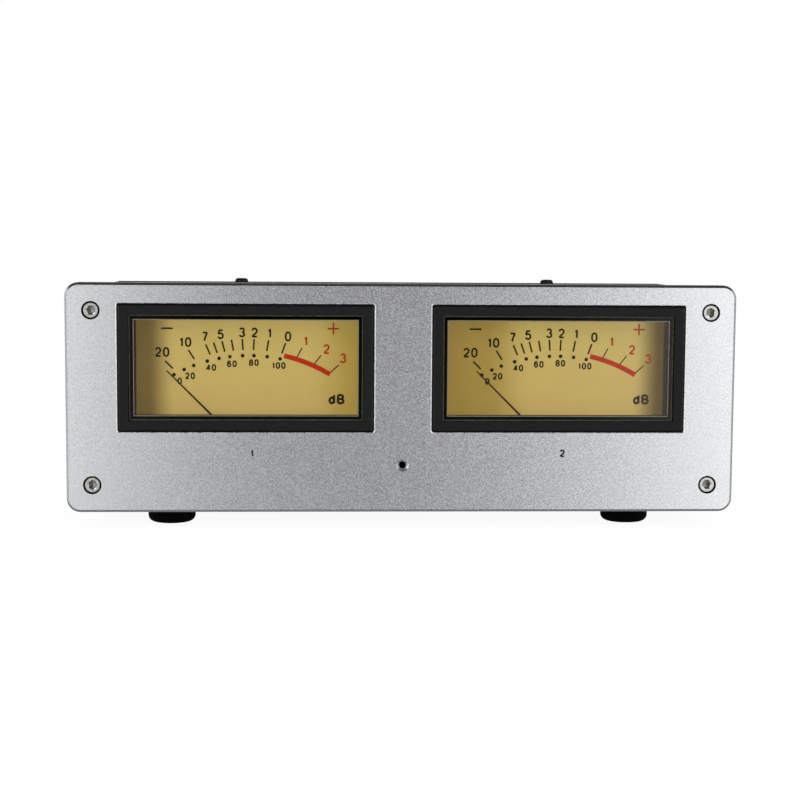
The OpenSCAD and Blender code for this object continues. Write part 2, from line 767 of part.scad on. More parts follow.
module bezel(side) color("black") at_meter(side) difference() {
    union() {
        translate([0, -bezel_proud, 0]) bevel_slab(bezel_w - 2 * bezel_bevel,
            bezel_h - 2 * bezel_bevel, bezel_corner_r - bezel_bevel, bezel_bevel, bezel_bevel);
        slab(bezel_bevel - bezel_proud, panel_t + eps) rounded_rect(bezel_w, bezel_h, bezel_corner_r);
        translate([0, 0, shell_mid]) slab(panel_t, plate_y1) rounded_rect(shell_w, shell_h, 2);
        for (sx = [-1, 1]) translate([sx * (window_w / 2 + collar_t / 2), 0, 0])
            slab(plate_y1 - eps, dial_back) square([collar_t, window_h + 2 * collar_t], center = true);
        translate([0, 0, window_h / 2 + collar_t / 2])
            slab(plate_y1 - eps, dial_back) square([window_w + 2 * collar_t, collar_t], center = true);
        for (sx = [-1, 1]) translate([sx * 30, 0, shell_top - shell_wall - 0.8])
            slab(plate_y1 - eps, plate_y1 + 3) square([8, 1.4], center = true);
    }
    slab(-bezel_proud - eps, lens_set + lens_t) square([lens_recess_w, lens_recess_h], center = true);
    slab(0, dial_back + eps) square([window_w, window_h], center = true);
    for (sx = [-1, 1]) translate([sx * meter_screw_x, 0, meter_screw_z]) {
        rod(panel_t - eps, plate_y1 + eps, meter_screw_r + 0.1);
        taper(panel_t - eps, panel_t + 1.2, meter_screw_r + 1.3, meter_screw_r + 0.1);
    }
}

module lens(side) color("lightcyan", 0.4) at_meter(side)
    slab(lens_set, lens_set + lens_t)
        square([lens_recess_w - 2 * lens_gap, lens_recess_h - 2 * lens_gap], center = true);

module dial_plate(side) color("goldenrod") at_meter(side)
    slab(dial_back, dial_back + dial_t) square([dial_w, 2 * dial_half_h], center = true);

module light_diffuser(side) color("ivory") at_meter(side)
    slab(dial_back + dial_t, dial_back + dial_t + diffuser_t)
        square([dial_w, 2 * dial_half_h], center = true);

module meter_case(side) color("darkslategray") at_meter(side) difference() {
    union() {
        difference() {
            translate([0, 0, shell_mid]) slab(plate_y1, meter_depth) rounded_rect(shell_w, shell_h, 2);
            translate([0, 0, shell_mid]) slab(plate_y1 - eps, meter_depth - shell_wall)
                square([shell_w - 2 * shell_wall, shell_h - 2 * shell_wall], center = true);
        }
        for (sx = [-1, 1]) translate([sx * (shell_w / 2 - shell_wall - rib_t / 2), 0, 0])
            slab(dial_back + dial_t + diffuser_t, meter_depth - shell_wall + eps)
                square([rib_t + 2 * eps, 2 * dial_half_h - 4], center = true);
        for (sx = [-1, 1], sz = [-1, 1])
            translate([sx * (lamp_w / 2 - lamp_post_inset), 0, lamp_mid + sz * (lamp_h / 2 - lamp_post_inset)])
                rod(lamp_y + lamp_t, meter_depth - shell_wall + eps, 2.5);
        for (sx = [-1, 1]) translate([sx * meter_screw_x, 0, meter_screw_z])
            rod(plate_y1, meter_depth - shell_wall + eps, 3);
        for (sx = [-1, 1]) translate([pivot_x + sx * frame_post_x, 0, -pivot_drop])
            rod(frame_y0 + frame_t, meter_depth - shell_wall + eps, 3.2);
    }
    for (sx = [-1, 1]) {
        translate([sx * meter_screw_x, 0, meter_screw_z]) rod(plate_y1 - eps, plate_y1 + 9, meter_screw_r);
        translate([sx * terminal_x, 0, terminal_z])
            rod(meter_depth - shell_wall - eps, meter_depth + eps, terminal_r + 0.1);
        translate([pivot_x + sx * frame_post_x, 0, -pivot_drop])
            rod(frame_y0 + frame_t - eps, meter_depth + eps, meter_screw_r + 0.1);
    }
    translate([pivot_x, 0, -pivot_drop]) rod(meter_depth - shell_wall - eps, meter_depth + eps, 2);
}

module meter_case_screws() color("gainsboro") for (side = [-1, 1]) at_meter(side)
    for (sx = [-1, 1]) translate([sx * meter_screw_x, 0, meter_screw_z]) {
        rod(panel_t + 0.2, panel_t + 8, meter_screw_r - thread_gap);
        taper(panel_t + 0.1, panel_t + 1.1, meter_screw_r + 1, meter_screw_r - thread_gap);
    }

module lamp_board(side) color("darkgreen") at_meter(side) translate([0, 0, lamp_mid])
    slab(lamp_y, lamp_y + lamp_t) square([lamp_w, lamp_h], center = true);

module leds() color("white") for (side = [-1, 1]) at_meter(side) for (i = [-1.5:1:1.5])
    translate([i * lamp_w / 4, 0, lamp_mid + 2]) {
        rod(lamp_y - led_len + led_r, lamp_y, led_r);
        translate([0, lamp_y - led_len + led_r, 0]) sphere(led_r - 0.02);
    }

module terminals() color("gold") for (side = [-1, 1], sx = [-1, 1])
    at_meter(side) translate([sx * terminal_x, 0, terminal_z]) {
        rod(meter_depth - shell_wall - 1, meter_depth + stud_len, terminal_r);
        rod(meter_depth - shell_wall - 1, meter_depth - shell_wall, terminal_r + 1);
        rod(meter_depth, meter_depth + 1.2, terminal_r + 1.2);
    }

// ---- movement ----

// iron ring with two ears that sit on the frame's posts, and two webs to the magnet
module yoke(side) color("gray") at_pivot(side) difference() {
    union() {
        rod(core_y0, core_y1, yoke_r);
        for (sx = [-1, 1]) translate([sx * frame_post_x, 0, 0]) rod(core_y0, core_y1, frame_post_r + 1.4);
    }
    difference() {
        rod(core_y0 - eps, core_y1 + eps, yoke_bore_r);
        translate([-1.5, core_y0, -yoke_bore_r - 1])
            cube([3, core_y1 - core_y0, 2 * yoke_bore_r + 2]);
    }
    rod(core_y0 - eps, core_y1 + eps, core_r + 0.02);
    for (sx = [-1, 1]) translate([sx * frame_post_x, 0, 0])
        rod(core_y0 - eps, core_y1 + eps, frame_post_r + thread_gap);
}

module core_magnet(side) color("dimgray") at_pivot(side) rod(core_y0, core_y1, core_r);

module movement_frame(side) color("silver") at_pivot(side) difference() {
    union() {
        slab(frame_y0, frame_y0 + frame_t) rounded_rect(2 * frame_post_x + 8, 14, 2);
        for (sx = [-1, 1]) translate([sx * frame_post_x, 0, 0]) {
            rod(core_y1, frame_y0 + eps, frame_post_r + 1.4);
            rod(bridge_y0 + bridge_t, frame_y0 + eps, frame_post_r);
        }
    }
    rod(frame_y0 - eps, frame_y0 + frame_t + eps, jewel_r + thread_gap);
    for (sx = [-1, 1]) translate([sx * frame_post_x, 0, 0]) {
        rod(frame_y0 + frame_t - 5, frame_y0 + frame_t + eps, meter_screw_r);
        rod(bridge_y0, bridge_y0 + bridge_t + 4, 0.8);
    }
}

module movement_screws() color("gainsboro") for (side = [-1, 1]) at_pivot(side)
    for (sx = [-1, 1]) translate([sx * frame_post_x, 0, 0]) {
        rod(frame_y0 + frame_t - 4, meter_depth, meter_screw_r - thread_gap);
        rod(meter_depth, meter_depth + 1.4, meter_screw_r + 1);
    }

// strap across the front of the movement, with a rivet at each end
module front_bridges() color("gold") for (side = [-1, 1]) at_pivot(side) difference() {
    union() {
        slab(bridge_y0, bridge_y0 + bridge_t) rounded_rect(2 * frame_post_x + 5, 5, 2);
        for (sx = [-1, 1]) translate([sx * frame_post_x, 0, 0])
            rod(bridge_y0 + bridge_t - eps, bridge_y0 + bridge_t + 3, 0.75);
    }
    rod(bridge_y0 - eps, bridge_y0 + bridge_t + eps, jewel_r + thread_gap);
}

module jewel_screws() color("gold") for (side = [-1, 1]) at_pivot(side) {
    difference() {
        rod(bridge_y0 - 0.3, bridge_y0 + bridge_t + 1, jewel_r);
        rod(bridge_y0 + bridge_t - 0.4, bridge_y0 + bridge_t + 1 + eps, pivot_r + pivot_gap);
    }
    difference() {
        rod(frame_y0 - 1, frame_y0 + frame_t + 1, jewel_r);
        rod(frame_y0 - 1 - eps, frame_y0 + 0.8, pivot_r + pivot_gap);
    }
}

// turns a piece drawn with the pointer upright to the pointer's rest
module at_rest() {
    rotate([0, -rest_angle, 0]) children();
}

// pointer: an arm at the hub, a step forward past the dial, and a tapering blade
module needle(side) color("black") at_pivot(side) at_rest() difference() {
    union() {
        rod(arm_y - 0.5, arm_y + 0.9, 1.3);
        translate([-0.6, arm_y - 0.3, 0]) cube([1.2, 0.6, 7.4]);
        translate([-0.6, needle_y - needle_t / 2, 6.2]) cube([1.2, arm_y + 0.3 - needle_y + needle_t / 2, 1.2]);
        slab(needle_y - needle_t / 2, needle_y + needle_t / 2)
            polygon([[-0.45, 6.4], [0.45, 6.4], [0.2, needle_len], [-0.2, needle_len]]);
        translate([-0.6, arm_y - 0.3, -9]) cube([1.2, 0.6, 9]);
        translate([0, 0, -8]) rod(arm_y - 1.2, arm_y + 1, 1.5);
    }
    rod(arm_y - 1, arm_y + 1, pivot_r);
}

// wound coil round the magnet, with a pivot at each end
module moving_coil(side) color("chocolate") at_pivot(side) at_rest() {
    difference() {
        translate([-coil_r0 - coil_wall, coil_y0, -coil_half_w])
            cube([2 * (coil_r0 + coil_wall), coil_y1 - coil_y0, 2 * coil_half_w]);
        translate([-coil_r0, coil_y0 + coil_wall, -coil_half_w - 1])
            cube([2 * coil_r0, coil_y1 - coil_y0 - 2 * coil_wall, 2 * coil_half_w + 2]);
    }
    rod(bridge_y0 + bridge_t - 0.2, coil_y0 + eps, pivot_r);
    rod(coil_y1 - eps, frame_y0 + 0.6, pivot_r);
}

function spiral_point(t, d) = let (r = spring_r0 + (spring_r1 - spring_r0) * t + d,
    a = 360 * spring_turns * t) [r * cos(a), r * sin(a)];

// flat spiral spring, its outer end bent to an anchor post
module spiral() {
    n = 72;
    polygon(concat([for (i = [0:n]) spiral_point(i / n, spring_w / 2)],
        [for (i = [n:-1:0]) spiral_point(i / n, -spring_w / 2)]));
}

module hairsprings(side) color("goldenrod") at_pivot(side)
    for (y = [arm_y + 1.1, coil_y1 + 0.7]) {
        slab(y, y + spring_h) spiral();
        translate([spring_r1, 0, 0]) rod(y, y + spring_h, 0.35);
    }

// ---- assembly ----

front_panel();
front_panel_screws();
rear_panel();
rear_panel_screws();
side_rails();
base_tray();
pan_screws();
top_cover();
cover_screws();
cover_pillars();
feet();
foot_screws();
clamp_bar();
clamp_studs();
clamp_screws();
mic_capsule();
mic_grommet();
driver_board();
board_standoffs();
capacitors();
driver_chips();
line_jacks();
power_jack();
sensitivity_pot();
pot_shaft();
sensitivity_knob();
input_switch();
switch_lever();
panel_nuts();
meter_case_screws();
terminals();
jewel_screws();
leds();
front_bridges();
movement_screws();
wiring();
bezel(-1);  // bezel_left
bezel(1);  // bezel_right
lens(-1);  // lens_left
lens(1);  // lens_right
dial_plate(-1);  // dial_plate_left
dial_plate(1);  // dial_plate_right
light_diffuser(-1);  // light_diffuser_left
light_diffuser(1);  // light_diffuser_right
lamp_board(-1);  // lamp_board_left
lamp_board(1);  // lamp_board_right
meter_case(-1);  // meter_case_left
meter_case(1);  // meter_case_right
yoke(-1);  // yoke_left
yoke(1);  // yoke_right
core_magnet(-1);  // core_magnet_left
core_magnet(1);  // core_magnet_right
movement_frame(-1);  // movement_frame_left
movement_frame(1);  // movement_frame_right
needle(-1);  // needle_left
needle(1);  // needle_right
moving_coil(-1);  // moving_coil_left
moving_coil(1);  // moving_coil_right
hairsprings(-1);  // hairsprings_left
hairsprings(1);  // hairsprings_right
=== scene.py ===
import json
import math
import bmesh
import bpy
import numpy as np
from mathutils import Matrix, Vector


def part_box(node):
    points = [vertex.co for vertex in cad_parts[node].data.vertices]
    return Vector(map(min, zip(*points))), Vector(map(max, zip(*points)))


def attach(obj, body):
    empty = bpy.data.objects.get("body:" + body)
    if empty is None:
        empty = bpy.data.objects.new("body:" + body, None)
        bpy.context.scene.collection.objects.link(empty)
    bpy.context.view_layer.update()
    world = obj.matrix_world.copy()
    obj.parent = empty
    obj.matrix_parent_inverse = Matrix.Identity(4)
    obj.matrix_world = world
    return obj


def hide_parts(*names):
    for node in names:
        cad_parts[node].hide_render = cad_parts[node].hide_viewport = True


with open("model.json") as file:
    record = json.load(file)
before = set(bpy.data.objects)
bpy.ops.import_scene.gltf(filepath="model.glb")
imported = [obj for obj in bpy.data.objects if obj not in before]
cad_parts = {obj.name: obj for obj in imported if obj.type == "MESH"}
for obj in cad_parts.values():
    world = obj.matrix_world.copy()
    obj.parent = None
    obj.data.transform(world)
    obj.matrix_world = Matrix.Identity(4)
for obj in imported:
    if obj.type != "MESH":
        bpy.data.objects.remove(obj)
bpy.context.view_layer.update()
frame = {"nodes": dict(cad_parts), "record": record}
mm = 0.001
print("frame loaded:", len(frame["nodes"]), "nodes")


# the two corners of a node's box, in millimetres
def boxOf(node):
    return np.array([list(corner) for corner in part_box(node)]) / mm


# the middle of a meter's window in x and z: across between bezel and lens, upwards in the lens
def meterMiddle(side):
    bezel, lens = boxOf("bezel_" + side).mean(0), boxOf("lens_" + side).mean(0)
    return (bezel[0] + lens[0]) / 2, lens[2]


# planes and places of the part, in millimetres, that the new pieces stand on
layout = {
    "panelFace": boxOf("front_panel")[0, 1],
    "panelMiddle": boxOf("front_panel").mean(0)[2],
    "rearFace": boxOf("rear_panel")[1, 1],
    "coverTop": boxOf("top_cover")[1, 2],
    "dialFace": boxOf("dial_plate_left")[0, 1],
    "meters": {side: meterMiddle(side) for side in ("left", "right")},
}

# panel screws: socket heads with a turned chamfer, sunk in their counterbores. Each ring is (radius, height
# over the head's face), the socket begins at ring hexFrom, and the head is painted dark, as the shade of the
# counterbore, further out than a given radius
panelScrew = {
    "headR": 2.75, "sink": 0.3, "hexFrom": 7, "shadedFrom": 2.45, "spin": (17, 8),
    "rings": ((1.45, -13.0), (1.45, -3.0), (2.75, -3.0), (2.75, -0.25), (2.68, -0.08), (2.5, 0.0),
              (1.72, 0.0), (1.45, -0.10), (1.25, -0.32), (1.2, -1.6)),
}
low, high = boxOf("front_panel_screws")
layout["screws"] = (high[0] - panelScrew["headR"], (high[2] - low[2]) / 2 - panelScrew["headR"])


# colours and nodes

# sRGB hex to the linear values that the shaders take: v / 12.92 up to 0.04045, and above it
# ((v + 0.055) / 1.055) ^ 2.4
def linear(hexColour):
    parts = [int(hexColour[i:i + 2], 16) / 255 for i in (1, 3, 5)]
    return tuple(v / 12.92 if v <= 0.04045 else ((v + 0.055) / 1.055) ** 2.4 for v in parts) + (1.0,)


# adds one node: settings are its own options, or values of inputs by name or number, and links feed inputs
# from other nodes' sockets
def addNode(tree, kind, settings={}, links={}):
    node = tree.nodes.new("ShaderNode" + kind)
    for name, value in settings.items():
        if isinstance(name, str) and hasattr(node, name):
            setattr(node, name, value)
        else:
            node.inputs[name].default_value = value
    for name, socket in links.items():
        tree.links.new(socket, node.inputs[name])
    return node


# empties the node tree of a material or of the world
def emptyTree(owner):
    owner.use_nodes = True
    owner.node_tree.nodes.clear()
    return owner.node_tree


# a material with its shader wired to the output; values go on the shader's own sockets
def startMaterial(name, values):
    material = bpy.data.materials.new(name)
    tree = emptyTree(material)
    shader = addNode(tree, "BsdfPrincipled", values)
    addNode(tree, "OutputMaterial", links={"Surface": shader.outputs[0]})
    place = addNode(tree, "TexCoord").outputs["Object"]
    return material, tree, shader, place


# lets a pattern run the base colour from one tone to the other
def tone(tree, shader, pattern, dark, light, low=0.35, high=0.65):
    ramp = addNode(tree, "ValToRGB", links={"Fac": pattern})
    ramp.color_ramp.elements[0].position, ramp.color_ramp.elements[1].position = low, high
    ramp.color_ramp.elements[0].color, ramp.color_ramp.elements[1].color = linear(dark), linear(light)
    tree.links.new(ramp.outputs["Color"], shader.inputs["Base Color"])


# lets a pattern run the roughness between two values
def gloss(tree, shader, pattern, smooth, rough):
    span = {"From Min": 0.3, "From Max": 0.7, "To Min": smooth, "To Max": rough}
    spread = addNode(tree, "MapRange", span, {"Value": pattern})
    tree.links.new(spread.outputs[0], shader.inputs["Roughness"])


# lets a pattern lift the surface by a height in millimetres
def relief(tree, shader, pattern, heightMm):
    bump = addNode(tree, "Bump", {"Strength": 1.0, "Distance": heightMm * mm}, {"Height": pattern})
    tree.links.new(bump.outputs[0], shader.inputs["Normal"])


# a material of grains: noise of one size for tone and gloss, and noise of another for the relief
def grained(name, values, dark, light, toneMm, smooth, rough, reliefMm, heightMm):
    material, tree, shader, place = startMaterial(name, values)
    wide = addNode(tree, "TexNoise", {"Scale": 1 / (toneMm * mm), "Detail": 3.0},
                   {"Vector": place}).outputs["Fac"]
    fine = addNode(tree, "TexNoise", {"Scale": 1 / (reliefMm * mm), "Detail": 1.0},
                   {"Vector": place}).outputs["Fac"]
    tone(tree, shader, wide, dark, light)
    gloss(tree, shader, wide, smooth, rough)
    relief(tree, shader, fine, heightMm)
    return material


# materials

# front panel: aluminium plate, bead-blasted and clear anodised. The dents of the beads, 0.1 to 0.2 mm, are
# drawn at 0.48 mm; each is a little lighter or darker, so the plate sparkles like fine sand. How strong that
# sparkle is along the plate is painted light: stronger in its middle, which mirrors the dim studio, than at
# its ends, which the side light washes out: (distance from the middle in metres, contrast of the grain
# there).
# The counterbores are painted dark from just behind the face inwards, a painted shade of the recesses
panelBlast = {
    "beadMm": 0.48, "cloudMm": 9.0, "dentMm": 0.0036, "dark": "#ADAFB1", "light": "#DFE0E2",
    "middle": (0.03, 3.6), "ends": (0.105, 1.1), "smooth": 0.26, "rough": 0.272,
    "boreR": 3.4, "boreFrom": (0.03, 0.3), "boreShade": "#2C2C2C",
}


def beadBlastedAluminium():
    values = {"Metallic": 1.0, "Roughness": panelBlast["smooth"]}
    material, tree, shader, place = startMaterial("beadBlastedAluminium", values)
    bead = addNode(tree, "TexNoise", {"Scale": 1 / (panelBlast["beadMm"] * mm), "Detail": 2.0,
                                      "Roughness": 0.7}, {"Vector": place}).outputs["Fac"]
    axes = addNode(tree, "SeparateXYZ", links={0: place})
    across = addNode(tree, "Math", {"operation": "ABSOLUTE"}, {0: axes.outputs["X"]}).outputs[0]
    # the grain's contrast is painted light: raised in the middle of the plate and lowered at its ends
    (start, much), (stop, little) = panelBlast["middle"], panelBlast["ends"]
    span = {"From Min": start, "From Max": stop, "To Min": much, "To Max": little}
    contrast = addNode(tree, "MapRange", span, {"Value": across}).outputs[0]
    centred = addNode(tree, "Math", {"operation": "SUBTRACT", 1: 0.5}, {0: bead}).outputs[0]
    grain = addNode(tree, "Math", {"operation": "MULTIPLY_ADD", 2: 0.5}, {0: centred, 1: contrast}).outputs[0]
    tones = {"data_type": "RGBA", 6: linear(panelBlast["dark"]), 7: linear(panelBlast["light"])}
    plate = addNode(tree, "Mix", tones, {0: grain}).outputs[2]
    # painted shade in the bores: dark near the line of a corner screw and behind the face
    screwX, screwZ = (v * mm for v in layout["screws"])
    middle = layout["panelMiddle"] * mm
    across = addNode(tree, "Math", {"operation": "SUBTRACT", 1: screwX}, {0: across}).outputs[0]
    upward = addNode(tree, "Math", {"operation": "SUBTRACT", 1: middle}, {0: axes.outputs["Z"]}).outputs[0]
    upward = addNode(tree, "Math", {"operation": "ABSOLUTE"}, {0: upward}).outputs[0]
    upward = addNode(tree, "Math", {"operation": "SUBTRACT", 1: screwZ}, {0: upward}).outputs[0]
    offset = addNode(tree, "CombineXYZ", links={0: across, 2: upward}).outputs[0]
    distance = addNode(tree, "VectorMath", {"operation": "LENGTH"}, {0: offset}).outputs["Value"]
    boreR = panelBlast["boreR"] * mm
    near = addNode(tree, "Math", {"operation": "LESS_THAN", 1: boreR}, {0: distance}).outputs[0]
    start, stop = ((layout["panelFace"] + behind) * mm for behind in panelBlast["boreFrom"])
    deep = addNode(tree, "MapRange", {"From Min": start, "From Max": stop},
                   {"Value": axes.outputs["Y"]}).outputs[0]
    bore = addNode(tree, "Math", {"operation": "MULTIPLY"}, {0: near, 1: deep}).outputs[0]
    shadedTone = {"data_type": "RGBA", 7: linear(panelBlast["boreShade"])}
    plate = addNode(tree, "Mix", shadedTone, {0: bore, 6: plate}).outputs[2]
    tree.links.new(plate, shader.inputs["Base Color"])
    cloud = addNode(tree, "TexNoise", {"Scale": 1 / (panelBlast["cloudMm"] * mm), "Detail": 4.0},
                    {"Vector": place}).outputs["Fac"]
    gloss(tree, shader, cloud, panelBlast["smooth"], panelBlast["rough"])
    relief(tree, shader, bead, panelBlast["dentMm"])
    return material


# meter bezels and cases: ABS moulded in a spark-eroded tool, a fine matt leather of 0.3 mm drawn at 0.5 mm
mouldedAbs = grained("mouldedAbs", {"IOR": 1.54, "Specular IOR Level": 0.14}, "#0A0A0B", "#131314",
                     toneMm=0.9, smooth=0.42, rough=0.55, reliefMm=0.5, heightMm=0.012)

# cover, tray and rear panel: folded steel in black powder coat, with an orange peel of 0.8 mm
powderCoat = grained("blackPowderCoat", {"IOR": 1.5, "Specular IOR Level": 0.08}, "#121314", "#1B1C1E",
                     toneMm=1.0, smooth=0.62, rough=0.7, reliefMm=0.8, heightMm=0.014)

# cover and rear screws: steel with black oxide, slightly brown where it is thin
blackOxide = grained("blackOxideSteel", {"Metallic": 1.0}, "#18181A", "#2A2928",
                     toneMm=0.8, smooth=0.34, rough=0.46, reliefMm=0.4, heightMm=0.003)

# panel screws: nickel plated steel, turned. Faces and rims are bright, and the socket is painted darker
# further in, a painted shade of the recess, between two given depths behind the head's face
screwPlating = {"hazeMm": 0.7, "hazeLift": 0.002, "dark": "#A09F9C", "light": "#C4C3C0", "smooth": 0.20,
                "rough": 0.30, "socketShade": "#6A6864", "shadeFrom": 0.2, "shadeTo": 1.4}


def nickelSteel():
    material, tree, shader, place = startMaterial("nickelPlatedSteel", {"Metallic": 1.0})
    haze = addNode(tree, "TexNoise", {"Scale": 1 / (screwPlating["hazeMm"] * mm), "Detail": 3.0},
                   {"Vector": place}).outputs["Fac"]
    tones = {"data_type": "RGBA", 6: linear(screwPlating["dark"]), 7: linear(screwPlating["light"])}
    plating = addNode(tree, "Mix", tones, {0: haze}).outputs[2]
    # painted shade: the socket darkens with its depth behind the head's face
    depth = addNode(tree, "SeparateXYZ", links={0: place}).outputs["Y"]
    front = layout["panelFace"] + panelScrew["sink"]
    start, stop = (front + screwPlating["shadeFrom"]) * mm, (front + screwPlating["shadeTo"]) * mm
    sunk = addNode(tree, "MapRange", {"From Min": start, "From Max": stop}, {"Value": depth}).outputs[0]
    shadedTone = {"data_type": "RGBA", 7: linear(screwPlating["socketShade"])}
    steel = addNode(tree, "Mix", shadedTone, {0: sunk, 6: plating}).outputs[2]
    tree.links.new(steel, shader.inputs["Base Color"])
    gloss(tree, shader, haze, screwPlating["smooth"], screwPlating["rough"])
    relief(tree, shader, haze, screwPlating["hazeLift"])
    return material


# the heads' sides and rounded edges: the same steel, painted dark as the shade inside the counterbore
shadedScrewSteel = grained("shadedScrewSteel", {"Metallic": 1.0}, "#232220", "#343230",
                     toneMm=0.8, smooth=0.38, rough=0.5, reliefMm=0.4, heightMm=0.003)

# inner screws, studs and pillars: zinc plated steel with a faint blue bloom
zincSteel = grained("zincPlatedSteel", {"Metallic": 1.0}, "#B4B8BD", "#D2D5D8",
                    toneMm=1.2, smooth=0.26, rough=0.38, reliefMm=0.5, heightMm=0.003)

# rails, movement frame and the openings' edges: aluminium as milled, brighter than the panel
milledAluminium = grained("milledAluminium", {"Metallic": 1.0}, "#C2C3C5", "#DADBDC",
                          toneMm=1.5, smooth=0.24, rough=0.34, reliefMm=0.5, heightMm=0.003)

# feet and grommet: nitrile rubber from a matt mould, with a grey dusty bloom
mouldedRubber = grained("mouldedRubber", {"IOR": 1.52, "Specular IOR Level": 0.03}, "#060607", "#0C0C0D",
                        toneMm=3.0, smooth=0.62, rough=0.78, reliefMm=0.7, heightMm=0.02)

# knob: phenolic, moulded and polished, slightly waxy
satinPhenolic = grained("satinPhenolic", {"IOR": 1.6}, "#101011", "#1A1A1B",
                        toneMm=2.5, smooth=0.26, rough=0.36, reliefMm=1.2, heightMm=0.004)

# diffuser: opal acrylic, milky
milk = {"IOR": 1.49, "Subsurface Weight": 0.3, "Subsurface Scale": 0.002}
opalAcrylic = grained("opalAcrylic", milk, "#E6E0D0", "#F2EEE2",
                      toneMm=6.0, smooth=0.35, rough=0.45, reliefMm=2.0, heightMm=0.004)

# sockets, standoffs, bridges and springs: brass, turned and left bright, warmer where it has aged
turnedBrass = grained("turnedBrass", {"Metallic": 1.0}, "#B48A3E", "#D8B366",
                      toneMm=1.6, smooth=0.18, rough=0.30, reliefMm=0.4, heightMm=0.002)

# iron ring of the movement: soft iron, turned, oiled grey
softIron = grained("turnedSoftIron", {"Metallic": 1.0}, "#5C5B5A", "#7C7B79",
                   toneMm=1.0, smooth=0.34, rough=0.48, reliefMm=0.5, heightMm=0.004)

# core magnet: cast alnico, ground
groundMagnet = grained("groundAlnico", {"Metallic": 1.0}, "#4A4A4D", "#626265",
                       toneMm=0.9, smooth=0.30, rough=0.42, reliefMm=0.6, heightMm=0.004)

# pointer: aluminium strip, lacquered brown-black by hand
lacqueredStrip = grained("lacqueredAluminium", {"IOR": 1.5, "Specular IOR Level": 0.12}, "#1A1008", "#26190D",
                         toneMm=1.2, smooth=0.40, rough=0.55, reliefMm=0.3, heightMm=0.002)

# leads: PVC insulation, soft satin
pvcSleeve = grained("pvcInsulation", {"IOR": 1.53}, "#8E1414", "#B02020",
                    toneMm=3.0, smooth=0.30, rough=0.42, reliefMm=0.8, heightMm=0.006)

# capacitors: shrunk PET sleeve over a can, with faint shrink ripples
shrunkSleeve = grained("shrunkSleeve", {"IOR": 1.57}, "#10183C", "#1B2554",
                       toneMm=2.0, smooth=0.22, rough=0.34, reliefMm=1.1, heightMm=0.01)

# microphone, switch and control cans: tinned steel, pressed, with a clouded mirror
tinnedSteel = grained("tinnedSteel", {"Metallic": 1.0}, "#BDBDB9", "#D8D8D4",
                      toneMm=2.2, smooth=0.22, rough=0.40, reliefMm=0.6, heightMm=0.004)

# chips and power socket: moulded epoxy and nylon, matt
mouldedEpoxy = grained("mouldedEpoxy", {"IOR": 1.55}, "#121212", "#1D1D1D",
                       toneMm=0.8, smooth=0.45, rough=0.6, reliefMm=0.3, heightMm=0.006)

wavePerMetre = 2 / 6.28  # a wave texture of this scale repeats about once a metre


# boards: glass fibre with green solder mask; traces under the mask show as paler lines every 2.5 mm
def solderMask(pitchMm=2.5):
    values = {"IOR": 1.55, "Coat Weight": 0.5, "Coat Roughness": 0.2}
    material, tree, shader, place = startMaterial("greenSolderMask", values)
    turned = addNode(tree, "Mapping", {"Rotation": (0, 0, math.radians(45))}, {"Vector": place}).outputs[0]
    bands = {"Scale": wavePerMetre / (pitchMm * mm), "Distortion": 1.5, "Detail": 1.0}
    traces = addNode(tree, "TexWave", bands, {"Vector": turned}).outputs["Fac"]
    tone(tree, shader, traces, "#0C3B1C", "#155A2C", 0.5, 0.62)
    gloss(tree, shader, traces, 0.32, 0.26)
    relief(tree, shader, traces, 0.03)
    return material


# coil: enamelled copper wire of 0.1 mm, drawn as turns of 0.4 mm so that the winding shows
def copperWinding(turnMm=0.4):
    values = {"Metallic": 1.0, "Coat Weight": 0.6, "Coat Roughness": 0.15}
    material, tree, shader, place = startMaterial("enamelledCopper", values)
    bands = {"bands_direction": "Z", "Scale": wavePerMetre / (turnMm * mm), "Detail": 0.0}
    turns = addNode(tree, "TexWave", bands, {"Vector": place}).outputs["Fac"]
    tone(tree, shader, turns, "#7A3514", "#C06A34", 0.2, 0.8)
    gloss(tree, shader, turns, 0.28, 0.36)
    relief(tree, shader, turns, 0.08)
    return material


# lamps: clear epoxy with a warm phosphor that shows through
def lampEpoxy(swirlMm=1.5):
    values = {"IOR": 1.55, "Transmission Weight": 0.35, "Emission Strength": 0.35,
              "Emission Color": linear("#FFE3A8")}
    material, tree, shader, place = startMaterial("warmLampEpoxy", values)
    swirl = addNode(tree, "TexNoise", {"Scale": 1 / (swirlMm * mm), "Detail": 2.0},
                    {"Vector": place}).outputs["Fac"]
    tone(tree, shader, swirl, "#F0DCA8", "#FFF4D8")
    gloss(tree, shader, swirl, 0.08, 0.16)
    return material


# lens: clear acrylic, polished, with the low mirror of a coated window, which a lower IOR gives. Shadow
# rays pass, so the dial behind it is lit as through a real window
def clearAcrylic(hazeMm=14):
    values = {"IOR": 1.33, "Transmission Weight": 1.0, "Base Color": linear("#FBFCFB")}
    material, tree, shader, place = startMaterial("clearAcrylic", values)
    haze = addNode(tree, "TexNoise", {"Scale": 1 / (hazeMm * mm), "Detail": 2.0},
                   {"Vector": place}).outputs["Fac"]
    gloss(tree, shader, haze, 0.0, 0.02)
    through = addNode(tree, "BsdfTransparent", {"Color": linear("#FAFAF8")})
    path = addNode(tree, "LightPath")
    both = addNode(tree, "MixShader", links={0: path.outputs["Is Shadow Ray"], 1: shader.outputs[0],
                                             2: through.outputs[0]})
    tree.links.new(both.outputs[0], tree.nodes["Material Output"].inputs["Surface"])
    return material


